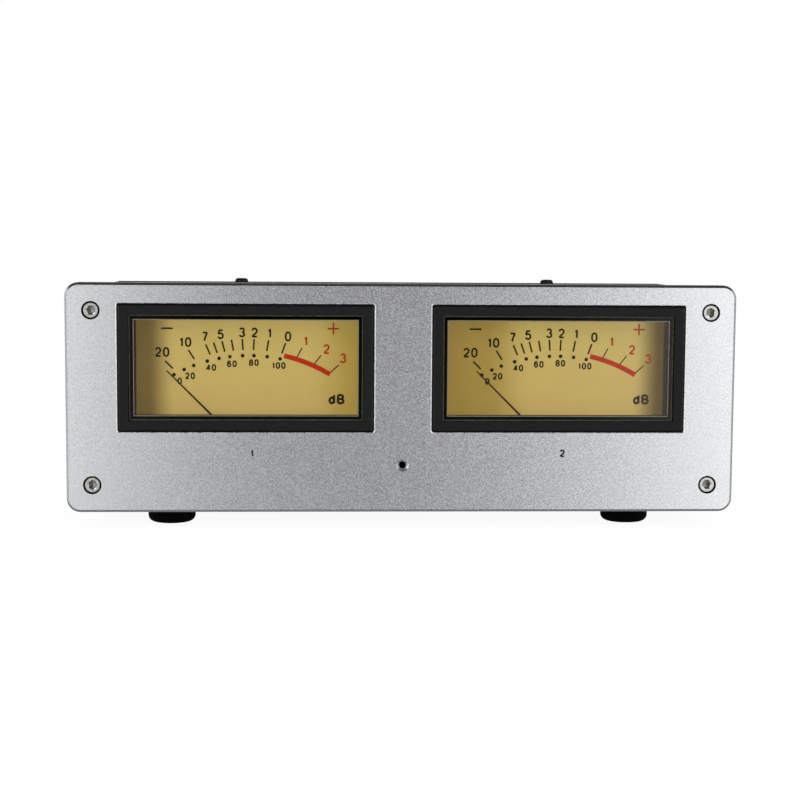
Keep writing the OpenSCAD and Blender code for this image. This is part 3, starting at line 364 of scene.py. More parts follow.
# dial: amber printed film over the diffuser, lit from behind, so most of its colour is its own light. It is
# yellow at the top, more orange at the bottom and falls to brown at the ends, a painted shade where the
# light behind it fades: (start of the fall, its end, colour there), in millimetres from the window's middle
dialGlow = {
    "top": "#C6AF62", "bottom": "#C2A65E", "halfHigh": 17.0, "glow": 0.62, "paint": 0.4,
    "fibreMm": 5.0, "fibreLift": 0.004, "mottle": (0.96, 1.04),
    "left": {"leftEnd": (25.0, 35.0, "#735D2A"), "rightEnd": (20.0, 40.0, "#B09442")},
    "right": {"leftEnd": (8.0, 26.0, "#A2873E"), "rightEnd": (28.0, 38.0, "#5E4A12")},
}


def amberFilm(side):
    values = {"IOR": 1.5, "Roughness": 0.6, "Specular IOR Level": 0.2, "Emission Strength": dialGlow["glow"]}
    material, tree, shader, place = startMaterial("amberFilm." + side, values)
    x, z = layout["meters"][side]
    centred = addNode(tree, "Mapping", {"Location": (-x * mm, 0, -z * mm)}, {"Vector": place}).outputs[0]
    axes = addNode(tree, "SeparateXYZ", links={0: centred})
    half = dialGlow["halfHigh"] * mm
    height = addNode(tree, "MapRange", {"From Min": -half, "From Max": half},
                     {"Value": axes.outputs["Z"]}).outputs[0]
    tones = {"data_type": "RGBA", 6: linear(dialGlow["bottom"]), 7: linear(dialGlow["top"])}
    film = addNode(tree, "Mix", tones, {0: height}).outputs[2]
    # painted shade: the film, and so its glow, darkens towards each end of the window
    for end, sign in (("leftEnd", -1), ("rightEnd", 1)):
        start, stop, shade = dialGlow[side][end]
        span = {"interpolation_type": "SMOOTHSTEP", "From Min": sign * start * mm,
                "From Max": sign * stop * mm}
        fall = addNode(tree, "MapRange", span, {"Value": axes.outputs["X"]}).outputs[0]
        film = addNode(tree, "Mix", {"data_type": "RGBA", 7: linear(shade)}, {0: fall, 6: film}).outputs[2]
    fibre = addNode(tree, "TexNoise", {"Scale": 1 / (dialGlow["fibreMm"] * mm), "Detail": 4.0},
                    {"Vector": place}).outputs["Fac"]
    least, most = dialGlow["mottle"]
    level = addNode(tree, "MapRange", {"To Min": least, "To Max": most}, {"Value": fibre}).outputs[0]
    times = {"data_type": "RGBA", "blend_type": "MULTIPLY", 0: 1.0}
    mottled = addNode(tree, "Mix", times, {6: film, 7: level}).outputs[2]
    share = (dialGlow["paint"],) * 3 + (1,)
    paint = addNode(tree, "Mix", {**times, 7: share}, {6: mottled}).outputs[2]
    tree.links.new(paint, shader.inputs["Base Color"])
    tree.links.new(mottled, shader.inputs["Emission Color"])
    relief(tree, shader, fibre, dialGlow["fibreLift"])
    return material


# lens rim: the same acrylic, cut and left ground, which shows as a pale line round the window; the same
# material also paints the highlight of the window's step
groundAcrylicAndStepHighlight = grained("groundAcrylicAndStepHighlight", {"IOR": 1.49, "Specular IOR Level": 0.4}, "#7C7A68", "#98957F",
                        toneMm=1.2, smooth=0.45, rough=0.6, reliefMm=0.4, heightMm=0.004)

# microphone face: black felt, its fibres 0.3 mm
blackFelt = grained("blackFelt", {"IOR": 1.45, "Specular IOR Level": 0.1}, "#040404", "#0A0A0A",
                    toneMm=0.6, smooth=0.8, rough=0.95, reliefMm=0.3, heightMm=0.05)


# inks of dial and panel: screen print, matt, slightly uneven in density. The reds glow with the dial
def screenInk(name, dark, light, glow=None, mirror=0.08):
    values = {"IOR": 1.5, "Specular IOR Level": mirror}
    if glow:
        values.update({"Emission Color": linear(glow), "Emission Strength": 0.2})
    return grained(name, values, dark, light,
                   toneMm=1.0, smooth=0.5, rough=0.65, reliefMm=0.4, heightMm=0.003)


blackInk = screenInk("blackScreenInk", "#1B1208", "#2A1D10")
redInk = screenInk("redScreenInk", "#9C2206", "#AC2A08", glow="#B42C08")
darkRedInk = screenInk("thinRedInk", "#963006", "#A6380C", glow="#A83A0C")
panelInk = screenInk("panelScreenInk", "#101011", "#1C1C1D")
whiteInk = screenInk("whiteScreenInk", "#D6D6D2", "#E6E6E2", mirror=0.5)


# rings on the sockets: nylon, moulded, satin
def mouldedNylon(name, dark, light):
    return grained(name, {"IOR": 1.53}, dark, light,
                   toneMm=1.6, smooth=0.3, rough=0.42, reliefMm=0.6, heightMm=0.004)


redPlastic = mouldedNylon("redNylon", "#A01818", "#B82222")
whitePlastic = mouldedNylon("whiteNylon", "#D2D0CA", "#E2E0DA")

bySlot = {
    "satin_aluminium": beadBlastedAluminium(), "bare_aluminium": milledAluminium, "black_paint": powderCoat,
    "black_screw": blackOxide, "dark_steel": nickelSteel(), "zinc_steel": zincSteel,
    "black_rubber": mouldedRubber, "black_plastic": mouldedAbs, "black_knob": satinPhenolic,
    "clear_plastic": clearAcrylic(), "opal_plastic": opalAcrylic, "green_board": solderMask(),
    "brass": turnedBrass, "copper_winding": copperWinding(), "soft_iron": softIron,
    "magnet": groundMagnet, "black_aluminium": lacqueredStrip, "wire_cover": pvcSleeve,
    "led_plastic": lampEpoxy(), "capacitor_sleeve": shrunkSleeve, "tinned_can": tinnedSteel,
}
byNode = {
    "dial_plate_left": amberFilm("left"), "dial_plate_right": amberFilm("right"),
    "driver_chips": mouldedEpoxy, "power_jack": mouldedEpoxy,
}

for part in frame["record"]["subparts"]:
    node = frame["nodes"][part["node"]]
    material = byNode.get(part["node"]) or bySlot[part["material_slot"]]
    if not node.material_slots:
        node.data.materials.append(material)
    for holder in node.material_slots:
        holder.material = material
print("materials:", len(bpy.data.materials))


# meshes

# adds an object with its data to the scene
def addObject(name, data):
    holder = bpy.data.objects.new(name, data)
    bpy.context.scene.collection.objects.link(holder)
    return holder


# makes a mesh object of an array of points in millimetres; faces are lists of point numbers
def addPiece(name, points, faces, material, body, slot, smooth=False):
    mesh = bpy.data.meshes.new(name)
    mesh.from_pydata((points * mm).tolist(), [], faces)
    shell = bmesh.new()
    shell.from_mesh(mesh)
    bmesh.ops.recalc_face_normals(shell, faces=shell.faces)
    shell.to_mesh(mesh)
    shell.free()
    if smooth:
        mesh.shade_smooth()
    mesh.materials.append(material)
    piece = addObject(name, mesh)
    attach(piece, body)
    return piece


# joins several (points, faces) sets into one
def gather(sets):
    joined, start = [], 0
    for points, faces in sets:
        joined += [[start + i for i in face] for face in faces]
        start += len(points)
    return np.vstack([points for points, faces in sets]), joined


# a flat print: an outline in x and z, run clockwise as seen from the front, given a thickness towards the
# viewer. Front and back are the outline at two depths, and the rim joins each point to the next one
def printed(outline, depth, thick):
    n = len(outline)
    front = np.column_stack([outline[:, 0], np.full(n, depth - thick), outline[:, 1]])
    back = front + [0, thick, 0]
    i = np.arange(n)
    j = (i + 1) % n
    rim = np.column_stack([i, i + n, j + n, j]).tolist()
    return np.vstack([front, back]), [i[::-1].tolist(), (i + n).tolist()] + rim


# a bar between two points in x and z: the ends moved half its width along the normal, both ways
def bar(a, b, width):
    a, b = np.asarray(a, float), np.asarray(b, float)
    along = (b - a) / np.linalg.norm(b - a)
    side = np.array([along[1], -along[0]]) * width / 2
    return np.array([a - side, b - side, b + side, a + side])


# a round outline in x and z, run clockwise
def disc(centre, r, n=28):
    a = -np.linspace(0, 2 * np.pi, n, endpoint=False)
    return np.column_stack([centre[0] + r * np.cos(a), centre[1] + r * np.sin(a)])


# a flat stroke along a path in x and z. Each point moves half the width along its mitre, both ways:
# (n1 + n2) / (1 + n1 . n2), with n1 and n2 the normals of the two segments that meet there. A path that ends
# where it starts is a ring
def stroke(path, width, depth, thick):
    ring = np.allclose(path[0], path[-1])
    if ring:
        path = path[:-1]
    along = np.roll(path, -1, 0) - path
    along /= np.linalg.norm(along, axis=1)[:, None]
    after = np.column_stack([-along[:, 1], along[:, 0]])
    before = np.roll(after, 1, 0)
    if not ring:
        after[-1], before[0] = after[-2], after[0]
    mitre = (before + after) / (1 + (before * after).sum(1))[:, None] * width / 2
    n = len(path)
    sides = [np.column_stack([at[:, 0], np.full(n, y), at[:, 1]])
             for y in (depth - thick, depth) for at in (path + mitre, path - mitre)]
    i = np.arange(n if ring else n - 1)
    j = (i + 1) % n
    faces = []
    for a, b in ((0, 1), (1, 3), (3, 2), (2, 0)):
        faces += np.column_stack([a * n + i, a * n + j, b * n + j, b * n + i]).tolist()
    if not ring:
        faces += [[0, n, 3 * n, 2 * n], [n - 1, 2 * n - 1, 4 * n - 1, 3 * n - 1]]
    return np.vstack(sides), faces


# part of an oval, angles in degrees anticlockwise from the right; square below 1 fills its corners:
# |cos| ^ square and |sin| ^ square, each with its own sign
def oval(x, z, rx, rz, start=0, stop=360, square=1.0, n=30):
    a = np.radians(np.linspace(start, stop, n))
    c, s = np.cos(a), np.sin(a)
    return np.column_stack([x + rx * np.sign(c) * abs(c) ** square, z + rz * np.sign(s) * abs(s) ** square])


# numerals of a plain engraver's hand, each as (width over height, strokes in a box of 1 by 1)
numerals = {
    "0": (0.66, [oval(0.5, 0.5, 0.5, 0.5, square=0.85)]),
    "1": (0.4, [[(0.8, 0), (0.8, 1)], [(0.0, 0.76), (0.35, 0.79), (0.6, 0.88), (0.74, 0.99)]]),
    "2": (0.66, [np.vstack([oval(0.5, 0.7, 0.47, 0.3, 172, -28), [(0.62, 0.36), (0.2, 0.16), (0.03, 0.0)]]),
                 [(0, 0), (1, 0)]]),
    "3": (0.66, [oval(0.48, 0.755, 0.42, 0.245, 160, -88), oval(0.47, 0.26, 0.5, 0.26, 88, -165)]),
    "4": (0.66, [[(0.7, 1), (0.0, 0.27), (1.0, 0.27)], [(0.72, 0), (0.72, 1)]]),
    "5": (0.66, [[(0.12, 1), (0.93, 1)], [(0.16, 1), (0.06, 0.48)], oval(0.46, 0.32, 0.5, 0.32, 145, -162)]),
    "6": (0.66, [oval(0.5, 0.31, 0.47, 0.31),
                 np.vstack([oval(0.52, 0.52, 0.5, 0.48, 38, 180), [(0.03, 0.3)]])]),
    "7": (0.66, [[(0, 1), (1, 1)], [(0.97, 0.98), (0.62, 0.55), (0.36, 0.0)]]),
    "8": (0.66, [oval(0.5, 0.755, 0.42, 0.245), oval(0.5, 0.26, 0.5, 0.26)]),
    "d": (0.66, [oval(0.47, 0.34, 0.47, 0.34), [(0.97, 0), (0.97, 1)]]),
    "B": (0.74, [[(0, 0), (0, 1)], np.vstack([[(0, 1)], oval(0.55, 0.76, 0.38, 0.24, 90, -90), [(0, 0.52)]]),
                 np.vstack([[(0, 0.52)], oval(0.55, 0.26, 0.45, 0.26, 90, -90), [(0, 0)]])]),
}


# numerals side by side about a centre, with weight and space as shares of the height; strokes that cross lie
# apart in depth, in millimetres
def lettered(text, centre, height, depth, thick, weight):
    space, apart = 0.14, 0.001
    sets, x = [], -(sum(numerals[mark][0] for mark in text) + space * (len(text) - 1)) / 2
    for mark in text:
        wide, strokes = numerals[mark]
        for k, path in enumerate(strokes):
            inBox = weight / 2 + np.asarray(path) * [wide - weight, 1 - weight] + [x, -0.5]
            sets.append(stroke(inBox * height + centre, weight * height, depth - apart * k, thick))
        x += wide + space
    return gather(sets)


# prints on the dials

# scale of the meter, in millimetres and degrees, from the window's middle. The ticks point to one centre and
# stand on an arc about another, and the dots of the lower scale stand on a smaller arc. A numeral is
# (text, x, z), a sign (x, z, length), the unit (text, x, z, height), and a weight is a share of the height
dial = {
    "aim": (0.42, -27.75), "arc": (0.24, -50.34), "tickR": 58.05, "tickLong": 3.9, "tickWide": 0.59,
    "ticks": (-45.0, -32.6, -23.4, -19.2, -14.7, -9.6, -3.8, 2.55, 10.45, 19.5),
    "redTicks": (28.4, 38.6, 48.1), "redTickWide": 0.4, "redTickR": (56.2, 60.0),
    "dotR": 54.15, "dotWide": 1.32,
    "dots": (-46.95, -40.8, -34.95, -26.6, -19.2, -12.4, -4.3, 2.95, 11.4, 19.6),
    "bandR": 55.5, "bandWide": 1.75, "band": (12.9, 31.1), "bandPoints": 33,
    "numerals": (("20", -30.2, 4.98), ("10", -22.0, 8.5), ("7", -15.16, 10.42), ("5", -9.63, 11.28),
                 ("3", -2.14, 11.98), ("2", 2.26, 11.94), ("1", 7.55, 11.78), ("0", 14.04, 10.6)),
    "redNumerals": (("1", 20.28, 9.04), ("2", 27.62, 6.18), ("3", 33.51, 2.94)),
    "numeralHigh": 3.5, "numeralWeight": 0.185,
    "percents": (("0", -24.08, -5.24), ("20", -20.44, -3.43), ("40", -13.0, -0.45), ("60", -5.73, 0.87),
                 ("80", 1.98, 1.3), ("100", 10.8, 0.3)),
    "percentHigh": 2.4, "percentWeight": 0.22,
    "minus": (-28.44, 13.33, 4.2), "plus": (30.05, 13.4, 4.1), "signWide": 0.6,
    "unit": ("dB", 31.2, -11.6, 3.7), "unitWeight": 0.23,
    "lift": 0.012, "thick": 0.02, "shift": {"left": (0.3, -0.1), "right": (0.0, 0.0)},
}


# where a ray from the aim, at an angle from upright, meets the circle of radius r about the arc's centre:
# the root of t^2 + 2 t (d . u) + |d|^2 = r^2, with d from the arc's centre to the aim and u along the ray
def onArc(angle, r):
    u = np.array([math.sin(math.radians(angle)), math.cos(math.radians(angle))])
    d = np.array(dial["aim"]) - np.array(dial["arc"])
    half = d @ u
    t = -half + math.sqrt(half * half - d @ d + r * r)
    return np.array(dial["aim"]) + t * u, u


# the prints of one dial in three inks: the ticks, dots, numerals, unit and minus are black, the band is
# red, and its numerals and the plus are of a darker red
def dialPrints(side):
    centre = np.array(layout["meters"][side]) + dial["shift"][side]
    depth, thick = layout["dialFace"] - dial["lift"], dial["thick"]
    black, red, darkRed = [], [], []

    def addBar(sets, a, b, width):
        sets.append(printed(bar(a, b, width) + centre, depth, thick))

    for angle in dial["ticks"]:
        point, u = onArc(angle, dial["tickR"])
        half = u * dial["tickLong"] / 2
        addBar(black, point - half, point + half, dial["tickWide"])
    for angle in dial["dots"]:
        dot = disc(onArc(angle, dial["dotR"])[0] + centre, dial["dotWide"] / 2)
        black.append(printed(dot, depth, thick))
    for angle in dial["redTicks"]:
        inner, outer = (onArc(angle, r)[0] for r in dial["redTickR"])
        addBar(black, inner, outer, dial["redTickWide"])
    turn = np.radians(np.linspace(*dial["band"], dial["bandPoints"]))
    ray = np.column_stack([np.sin(turn), np.cos(turn)])
    outer = ray * (dial["bandR"] + dial["bandWide"] / 2) + dial["arc"]
    inner = ray * (dial["bandR"] - dial["bandWide"] / 2) + dial["arc"]
    red.append(printed(np.vstack([outer, inner[::-1]]) + centre, depth, thick))
    for sets, words, kind in ((black, "numerals", "numeral"), (black, "percents", "percent"),
                              (darkRed, "redNumerals", "numeral")):
        high, weight = dial[kind + "High"], dial[kind + "Weight"]
        for text, x, z in dial[words]:
            sets.append(lettered(text, centre + (x, z), high, depth, thick, weight))
    text, x, z, high = dial["unit"]
    black.append(lettered(text, centre + (x, z), high, depth, thick, dial["unitWeight"]))
    wide = dial["signWide"]
    for sets, (x, z, long) in ((black, dial["minus"]), (darkRed, dial["plus"])):
        addBar(sets, (x - long / 2, z), (x + long / 2, z), wide)
    for up in (1, -1):  # the plus's upright, above and below its bar
        addBar(darkRed, (x, z + up * wide / 2), (x, z + up * long / 2), wide)
    for word, sets, ink in (("black", black, blackInk), ("red_band", red, redInk),
                            ("red", darkRed, darkRedInk)):
        addPiece("dial_print_" + word + "_" + side, *gather(sets), ink, "case", "amber_dial")


for side in ("left", "right"):
    dialPrints(side)
print("dial prints made")


# prints on the panel

# a plain number under each meter, where the original has words: (text, x, z)
panelPrint = {"numbers": (("1", -52.6, 27.1), ("2", 56.2, 27.1)), "high": 2.7, "weight": 0.21,
              "lift": 0.004, "thick": 0.02}
numbers = [lettered(text, (x, z), panelPrint["high"], layout["panelFace"] - panelPrint["lift"],
                    panelPrint["thick"], panelPrint["weight"]) for text, x, z in panelPrint["numbers"]]
addPiece("panel_numbers", *gather(numbers), panelInk, "case", "satin_aluminium")


# closed rings

# faces of a grid of n by m points that is closed both ways: each point with the next ones along both
def ringFaces(n, m):
    i, k = np.meshgrid(np.arange(n), np.arange(m), indexing="ij")
    j, l = (i + 1) % n, (k + 1) % m
    return np.stack([i * m + k, j * m + k, j * m + l, i * m + l], -1).reshape(-1, 4).tolist()


# edges of the openings

# the front edge of each opening, rounded bright by the cutter: a shallow arc over the chamfer. In section
# it turns from one tilt to the other with radius wide / (sin to - sin from), and its back is sunk in the
# metal; along its path the section keeps square to a rectangle with round corners. lip is how far the bezel
# reaches behind the opening's edge, and clear keeps the arc off the opening's wall
openingEdge = {"lip": 1.5, "high": 44.6, "corner": 0.6, "cornerSteps": 5, "wide": 0.4, "tilt": (4, 36),
               "steps": 7, "clear": 0.005, "proud": 0.004, "sink": 0.03}


# the arc's section, in rows of (distance out from the opening's edge, depth behind the panel's face)
def edgeSection():
    tilt = np.radians(np.linspace(*openingEdge["tilt"], openingEdge["steps"]))
    wide, sink = openingEdge["wide"], openingEdge["sink"]
    r = wide / (np.sin(tilt[-1]) - np.sin(tilt[0]))
    out = wide - r * (np.sin(tilt) - np.sin(tilt[0])) + openingEdge["clear"]
    deep = r * (np.cos(tilt[0]) - np.cos(tilt)) - openingEdge["proud"]
    return np.vstack([np.column_stack([out, deep]), [(sink, wide + sink), (wide + sink, sink)]])


def addOpeningEdge(side):
    low, high = boxOf("bezel_" + side)
    x, z = layout["meters"][side]
    halfX = (high[0] - low[0]) / 2 - openingEdge["lip"] - openingEdge["corner"]
    halfZ = openingEdge["high"] / 2 - openingEdge["corner"]
    section = edgeSection()
    quarter = np.repeat(np.arange(4), openingEdge["cornerSteps"])
    turn = np.radians(np.tile(np.linspace(0, 90, openingEdge["cornerSteps"]), 4) + 90 * quarter)
    cornerX = x + halfX * np.array([1, -1, -1, 1])[quarter]
    cornerZ = z + halfZ * np.array([1, 1, -1, -1])[quarter]
    reach = openingEdge["corner"] + section[:, 0]
    points = np.stack([cornerX[:, None] + np.outer(np.cos(turn), reach),
                       np.tile(layout["panelFace"] + section[:, 1], (len(turn), 1)),
                       cornerZ[:, None] + np.outer(np.sin(turn), reach)], -1).reshape(-1, 3)
    addPiece("opening_edge_" + side, points, ringFaces(len(turn), len(section)), milledAluminium,
             "case", "satin_aluminium", smooth=True)


for side in ("left", "right"):
    addOpeningEdge(side)
print("panel prints and opening edges made")


# lenses and microphone

# a lens is a clear slab inside a ground rim, whose front edge has a chamfer and which lies a little behind
# the slab. The step where the window begins catches the light as a bright line, which is drawn as a painted
# highlight: a pale ring on the lens's front, over the ledge's inner edge
lensEdge = {"chamfer": 0.3, "wide": 0.35, "behind": 0.02, "gap": 0.01,
            "ledge": 1.65, "line": 0.26, "lineLift": 0.01, "lineThick": 0.06}


# the rim is five rectangles, (inset, depth behind the front), joined in order
def addLens(side):
    low, high = boxOf("lens_" + side)
    middle, half, long = (low + high) / 2, (high - low) / 2, high[1] - low[1]
    cut, wide, behind = lensEdge["chamfer"], lensEdge["wide"], lensEdge["behind"]
    rings = []
    for inset, back in ((wide, behind), (cut, behind), (0, cut), (0, long), (wide, long)):
        rings.append([(middle[0] + sx * (half[0] - inset), low[1] + back, middle[2] + sz * (half[2] - inset))
                      for sx, sz in ((-1, -1), (1, -1), (1, 1), (-1, 1))])
    addPiece("lens_rim_" + side, np.array(rings).reshape(-1, 3), ringFaces(5, 4), groundAcrylicAndStepHighlight,
             "case", "clear_plastic")
    x, z = half[0] - wide - lensEdge["gap"], half[2] - wide - lensEdge["gap"]
    outline = np.array([(-x, -z), (-x, z), (x, z), (x, -z)]) + middle[[0, 2]]
    slab = addPiece("lens_slab_" + side, *printed(outline, high[1], long), bySlot["clear_plastic"],
                    "case", "clear_plastic")
    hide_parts("lens_" + side)
    # painted highlight: a pale ring where the window's step catches the light
    x, z = half[0] - lensEdge["ledge"], half[2] - lensEdge["ledge"]
    border = np.array([(-x, -z), (x, -z), (x, z), (-x, z), (-x, -z)]) + middle[[0, 2]]
    line = stroke(border, lensEdge["line"], low[1] - lensEdge["lineLift"], lensEdge["lineThick"])
    addPiece("lens_step_highlight_" + side, *line, groundAcrylicAndStepHighlight, "case", "clear_plastic")


for side in ("left", "right"):
    addLens(side)

# felt that covers the microphone's face, seen black through the panel's hole
micFelt = {"r": 4.2, "points": 40, "lift": 0.02, "thick": 0.3}
low, high = boxOf("mic_capsule")
felt = disc((low + high)[[0, 2]] / 2, micFelt["r"], micFelt["points"])
felt = printed(felt, low[1] - micFelt["lift"], micFelt["thick"])
addPiece("mic_felt", *felt, blackFelt, "case", "black_rubber")
print("lenses and microphone made")


# screws

# a screw head turned from a profile of (radius, height) with a six-sided socket: each ring is a circle, or
# a hexagon of radius a / cos(angle from the middle of its side), and the rings are joined in order from the
# shank to the pit
def socketHead(rings, hexFrom, pit=0.15, n=48):
    turn = np.linspace(0, 2 * np.pi, n, endpoint=False)
    flat = np.abs((turn % (np.pi / 3)) - np.pi / 6)
    points = []
    for k, (r, h) in enumerate(rings):
        reach = r / np.cos(flat) if k >= hexFrom else np.full(n, r)
        points.append(np.column_stack([reach * np.cos(turn), reach * np.sin(turn), np.full(n, h)]))
    points = np.vstack(points + [[[0, 0, rings[-1][1] - pit]], [[0, 0, rings[0][1]]]])
    i = np.arange(n)
    j = (i + 1) % n
    faces = []
    for k in range(len(rings) - 1):
        faces += np.column_stack([k * n + i, k * n + j, (k + 1) * n + j, (k + 1) * n + i]).tolist()
    last, end, foot = (len(rings) - 1) * n, len(points) - 2, len(points) - 1
    faces += np.column_stack([last + i, last + j, np.full(n, end)]).tolist()
    faces += np.column_stack([j, i, np.full(n, foot)]).tolist()
    return points, faces


# the panel's screws, each turned its own way in its counterbore; the heads' sides and edges are painted dark,
# a painted shade of the counterbore
screwX, screwZ = layout["screws"]
heads = []
for sx in (-1, 1):
    for sz in (-1, 1):
        points, faces = socketHead(panelScrew["rings"], panelScrew["hexFrom"])
        spin = math.radians(panelScrew["spin"][0] * sx + panelScrew["spin"][1] * sz)
        x = points[:, 0] * math.cos(spin) - points[:, 1] * math.sin(spin)
        z = points[:, 0] * math.sin(spin) + points[:, 1] * math.cos(spin)
        turned = np.column_stack([x, -points[:, 2], z])
        place = [sx * screwX, layout["panelFace"] + panelScrew["sink"], layout["panelMiddle"] + sz * screwZ]
        heads.append((turned + place, faces))
piece = addPiece("panel_socket_screws", *gather(heads), bySlot["dark_steel"], "case", "dark_steel")
piece.data.materials.append(shadedScrewSteel)
for face in piece.data.polygons:
    corners = [piece.data.vertices[i].co / mm for i in face.vertices]
    if all(math.hypot(abs(p.x) - screwX, abs(p.z - layout["panelMiddle"]) - screwZ) > panelScrew["shadedFrom"]
           for p in corners):
        face.material_index = 1
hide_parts("front_panel_screws")

# cover screws: button heads on a washer; the head is a low dome. Rings are (radius, height over the cover)
coverScrew = {
    "washerR": 3.5, "hexFrom": 11,
    "rings": ((1.45, -7.4), (1.45, 0.0), (3.5, 0.0), (3.5, 0.42), (3.42, 0.5), (2.5, 0.5), (2.5, 1.1),
              (2.42, 1.55), (2.2, 1.95), (1.85, 2.2), (1.25, 2.3), (0.95, 2.26), (0.95, 1.3)),
}
low, high = boxOf("cover_screws")
heads = []
for sx in (-1, 1):
    points, faces = socketHead(coverScrew["rings"], coverScrew["hexFrom"])
    place = [sx * (high[0] - coverScrew["washerR"]), (low[1] + high[1]) / 2, layout["coverTop"]]
    heads.append((points + place, faces))
piece = addPiece("cover_button_screws", *gather(heads), blackOxide, "case", "black_screw")
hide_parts("cover_screws")
print("screws made")


# rear

# a ring about a line along y: a closed profile of (radius, depth) carried round the circle
def ringAlongY(x, z, profile, n=64):
    r, y = np.array(profile).T
    turn = np.linspace(0, 2 * np.pi, n, endpoint=False)
    points = np.stack([x + np.outer(np.cos(turn), r), np.tile(y, (n, 1)), z + np.outer(np.sin(turn), r)], -1)
    return points.reshape(-1, 3), ringFaces(n, len(r))


# colour rings that tell the two line inputs apart, pushed over the barrels against the flanges; aside is
# from the end of the sockets' box to a barrel's middle, and behind is from the rear panel to the ring
socketRing = {"inner": 4.2, "outer": 5.7, "long": 1.1, "edge": 0.25, "aside": 6, "behind": 1.22}
low, high = boxOf("line_jacks")
near = layout["rearFace"] + socketRing["behind"]
far = near + socketRing["long"]
inner, outer, edge = socketRing["inner"], socketRing["outer"], socketRing["edge"]
profile = [(inner, near), (inner, far), (outer - edge, far), (outer, far - edge), (outer, near)]
for name, x, plastic in (("line_ring_left", low[0] + socketRing["aside"], whitePlastic),
                         ("line_ring_right", high[0] - socketRing["aside"], redPlastic)):
    addPiece(name, *ringAlongY(x, (low[2] + high[2]) / 2, profile), plastic, "case", "black_plastic")

# white line that fills the knob's groove, from near its middle to near its edge
knobLine = {"from": 3.2, "to": 6.8, "wide": 0.8, "thick": 0.4, "sunk": 0.55}
low, high = boxOf("sensitivity_knob")
knobZ = (low[2] + high[2]) / 2
outline = bar((0, knobZ + knobLine["from"]), (0, knobZ + knobLine["to"]), knobLine["wide"])
points, faces = printed(outline, 0, knobLine["thick"])
points = points * [-1, -1, 1] + [0, high[1] - knobLine["sunk"], 0]
addPiece("knob_line", points, faces, whiteInk, "knob", "black_knob")
print("rear pieces made")


# stage

# what metal and the lenses see around them: a studio, given by the slopes of the ray, u sideways and v
# upwards over the distance forwards, which is least or more. It is dim behind the camera, a little less so
# lower down, bright to each side of it and plain further aside: (slope where that begins, where it is
# reached, level). Far left, far right, below and above it has walls: (axis of the ray, where that begins,
# where it is reached, level). Rays count as forwards over the span of front
studio = {
    "dim": 0.03, "low": 0.27, "lowSides": 0.7, "lowSlope": (-0.03, -0.2),
    "left": (-0.057, -0.317, 3.0), "right": (0.113, 0.347, 3.0), "aside": (0.38, 0.62, 0.75),
    "walls": (("X", -0.75, -0.92, 0.04), ("X", 0.75, 0.92, 0.3),
              ("Z", -0.45, -0.75, 0.3), ("Z", 0.35, 0.65, 0.05)),
    "least": 0.02, "front": (0.0, -0.2), "behind": 0.35, "fill": 0.5,
    "stripAcross": (0.8, 0.93), "stripDepth": (0.12, 0.06), "strip": 2.2,
    "floorHalf": 4, "floorGrainMm": 3, "floorSeen": 1.07, "floorShare": 0.12,
}


# a wide pale floor: white to the camera, with a share of plain diffuse that keeps the object's shadow;
# metal looks through it at the studio
def makeFloor():
    material = bpy.data.materials.new("paperFloor")
    tree = emptyTree(material)
    path = addNode(tree, "LightPath")
    place = addNode(tree, "TexCoord").outputs["Object"]
    grain = addNode(tree, "TexNoise", {"Scale": 1 / (studio["floorGrainMm"] * mm), "Detail": 3.0},
                    {"Vector": place}).outputs["Fac"]
    tones = {"data_type": "RGBA", 6: linear("#F2F2F0"), 7: linear("#F6F6F4")}
    tint = addNode(tree, "Mix", tones, {0: grain}).outputs[2]
    backdrop = addNode(tree, "Emission", {"Color": (1, 1, 1, 1), "Strength": studio["floorSeen"]})
    paper = addNode(tree, "BsdfDiffuse", links={"Color": tint})
    share = addNode(tree, "Math", {"operation": "MULTIPLY", 1: 1 - studio["floorShare"]},
                    {0: path.outputs["Is Camera Ray"]}).outputs[0]
    seen = addNode(tree, "MixShader", links={0: share, 1: paper.outputs[0], 2: backdrop.outputs[0]})
    clear = addNode(tree, "BsdfTransparent")
    both = addNode(tree, "MixShader", links={0: path.outputs["Is Glossy Ray"], 1: seen.outputs[0],
                                             2: clear.outputs[0]})
    addNode(tree, "OutputMaterial", links={"Surface": both.outputs[0]})
    mesh = bpy.data.meshes.new("floor")
    half = studio["floorHalf"]
    corners = [(x * half, y * half, 0) for x, y in ((-1, -1), (1, -1), (1, 1), (-1, 1))]
    mesh.from_pydata(corners, [], [(0, 1, 2, 3)])
    mesh.materials.append(material)
    floor = addObject("floor", mesh)


makeFloor()


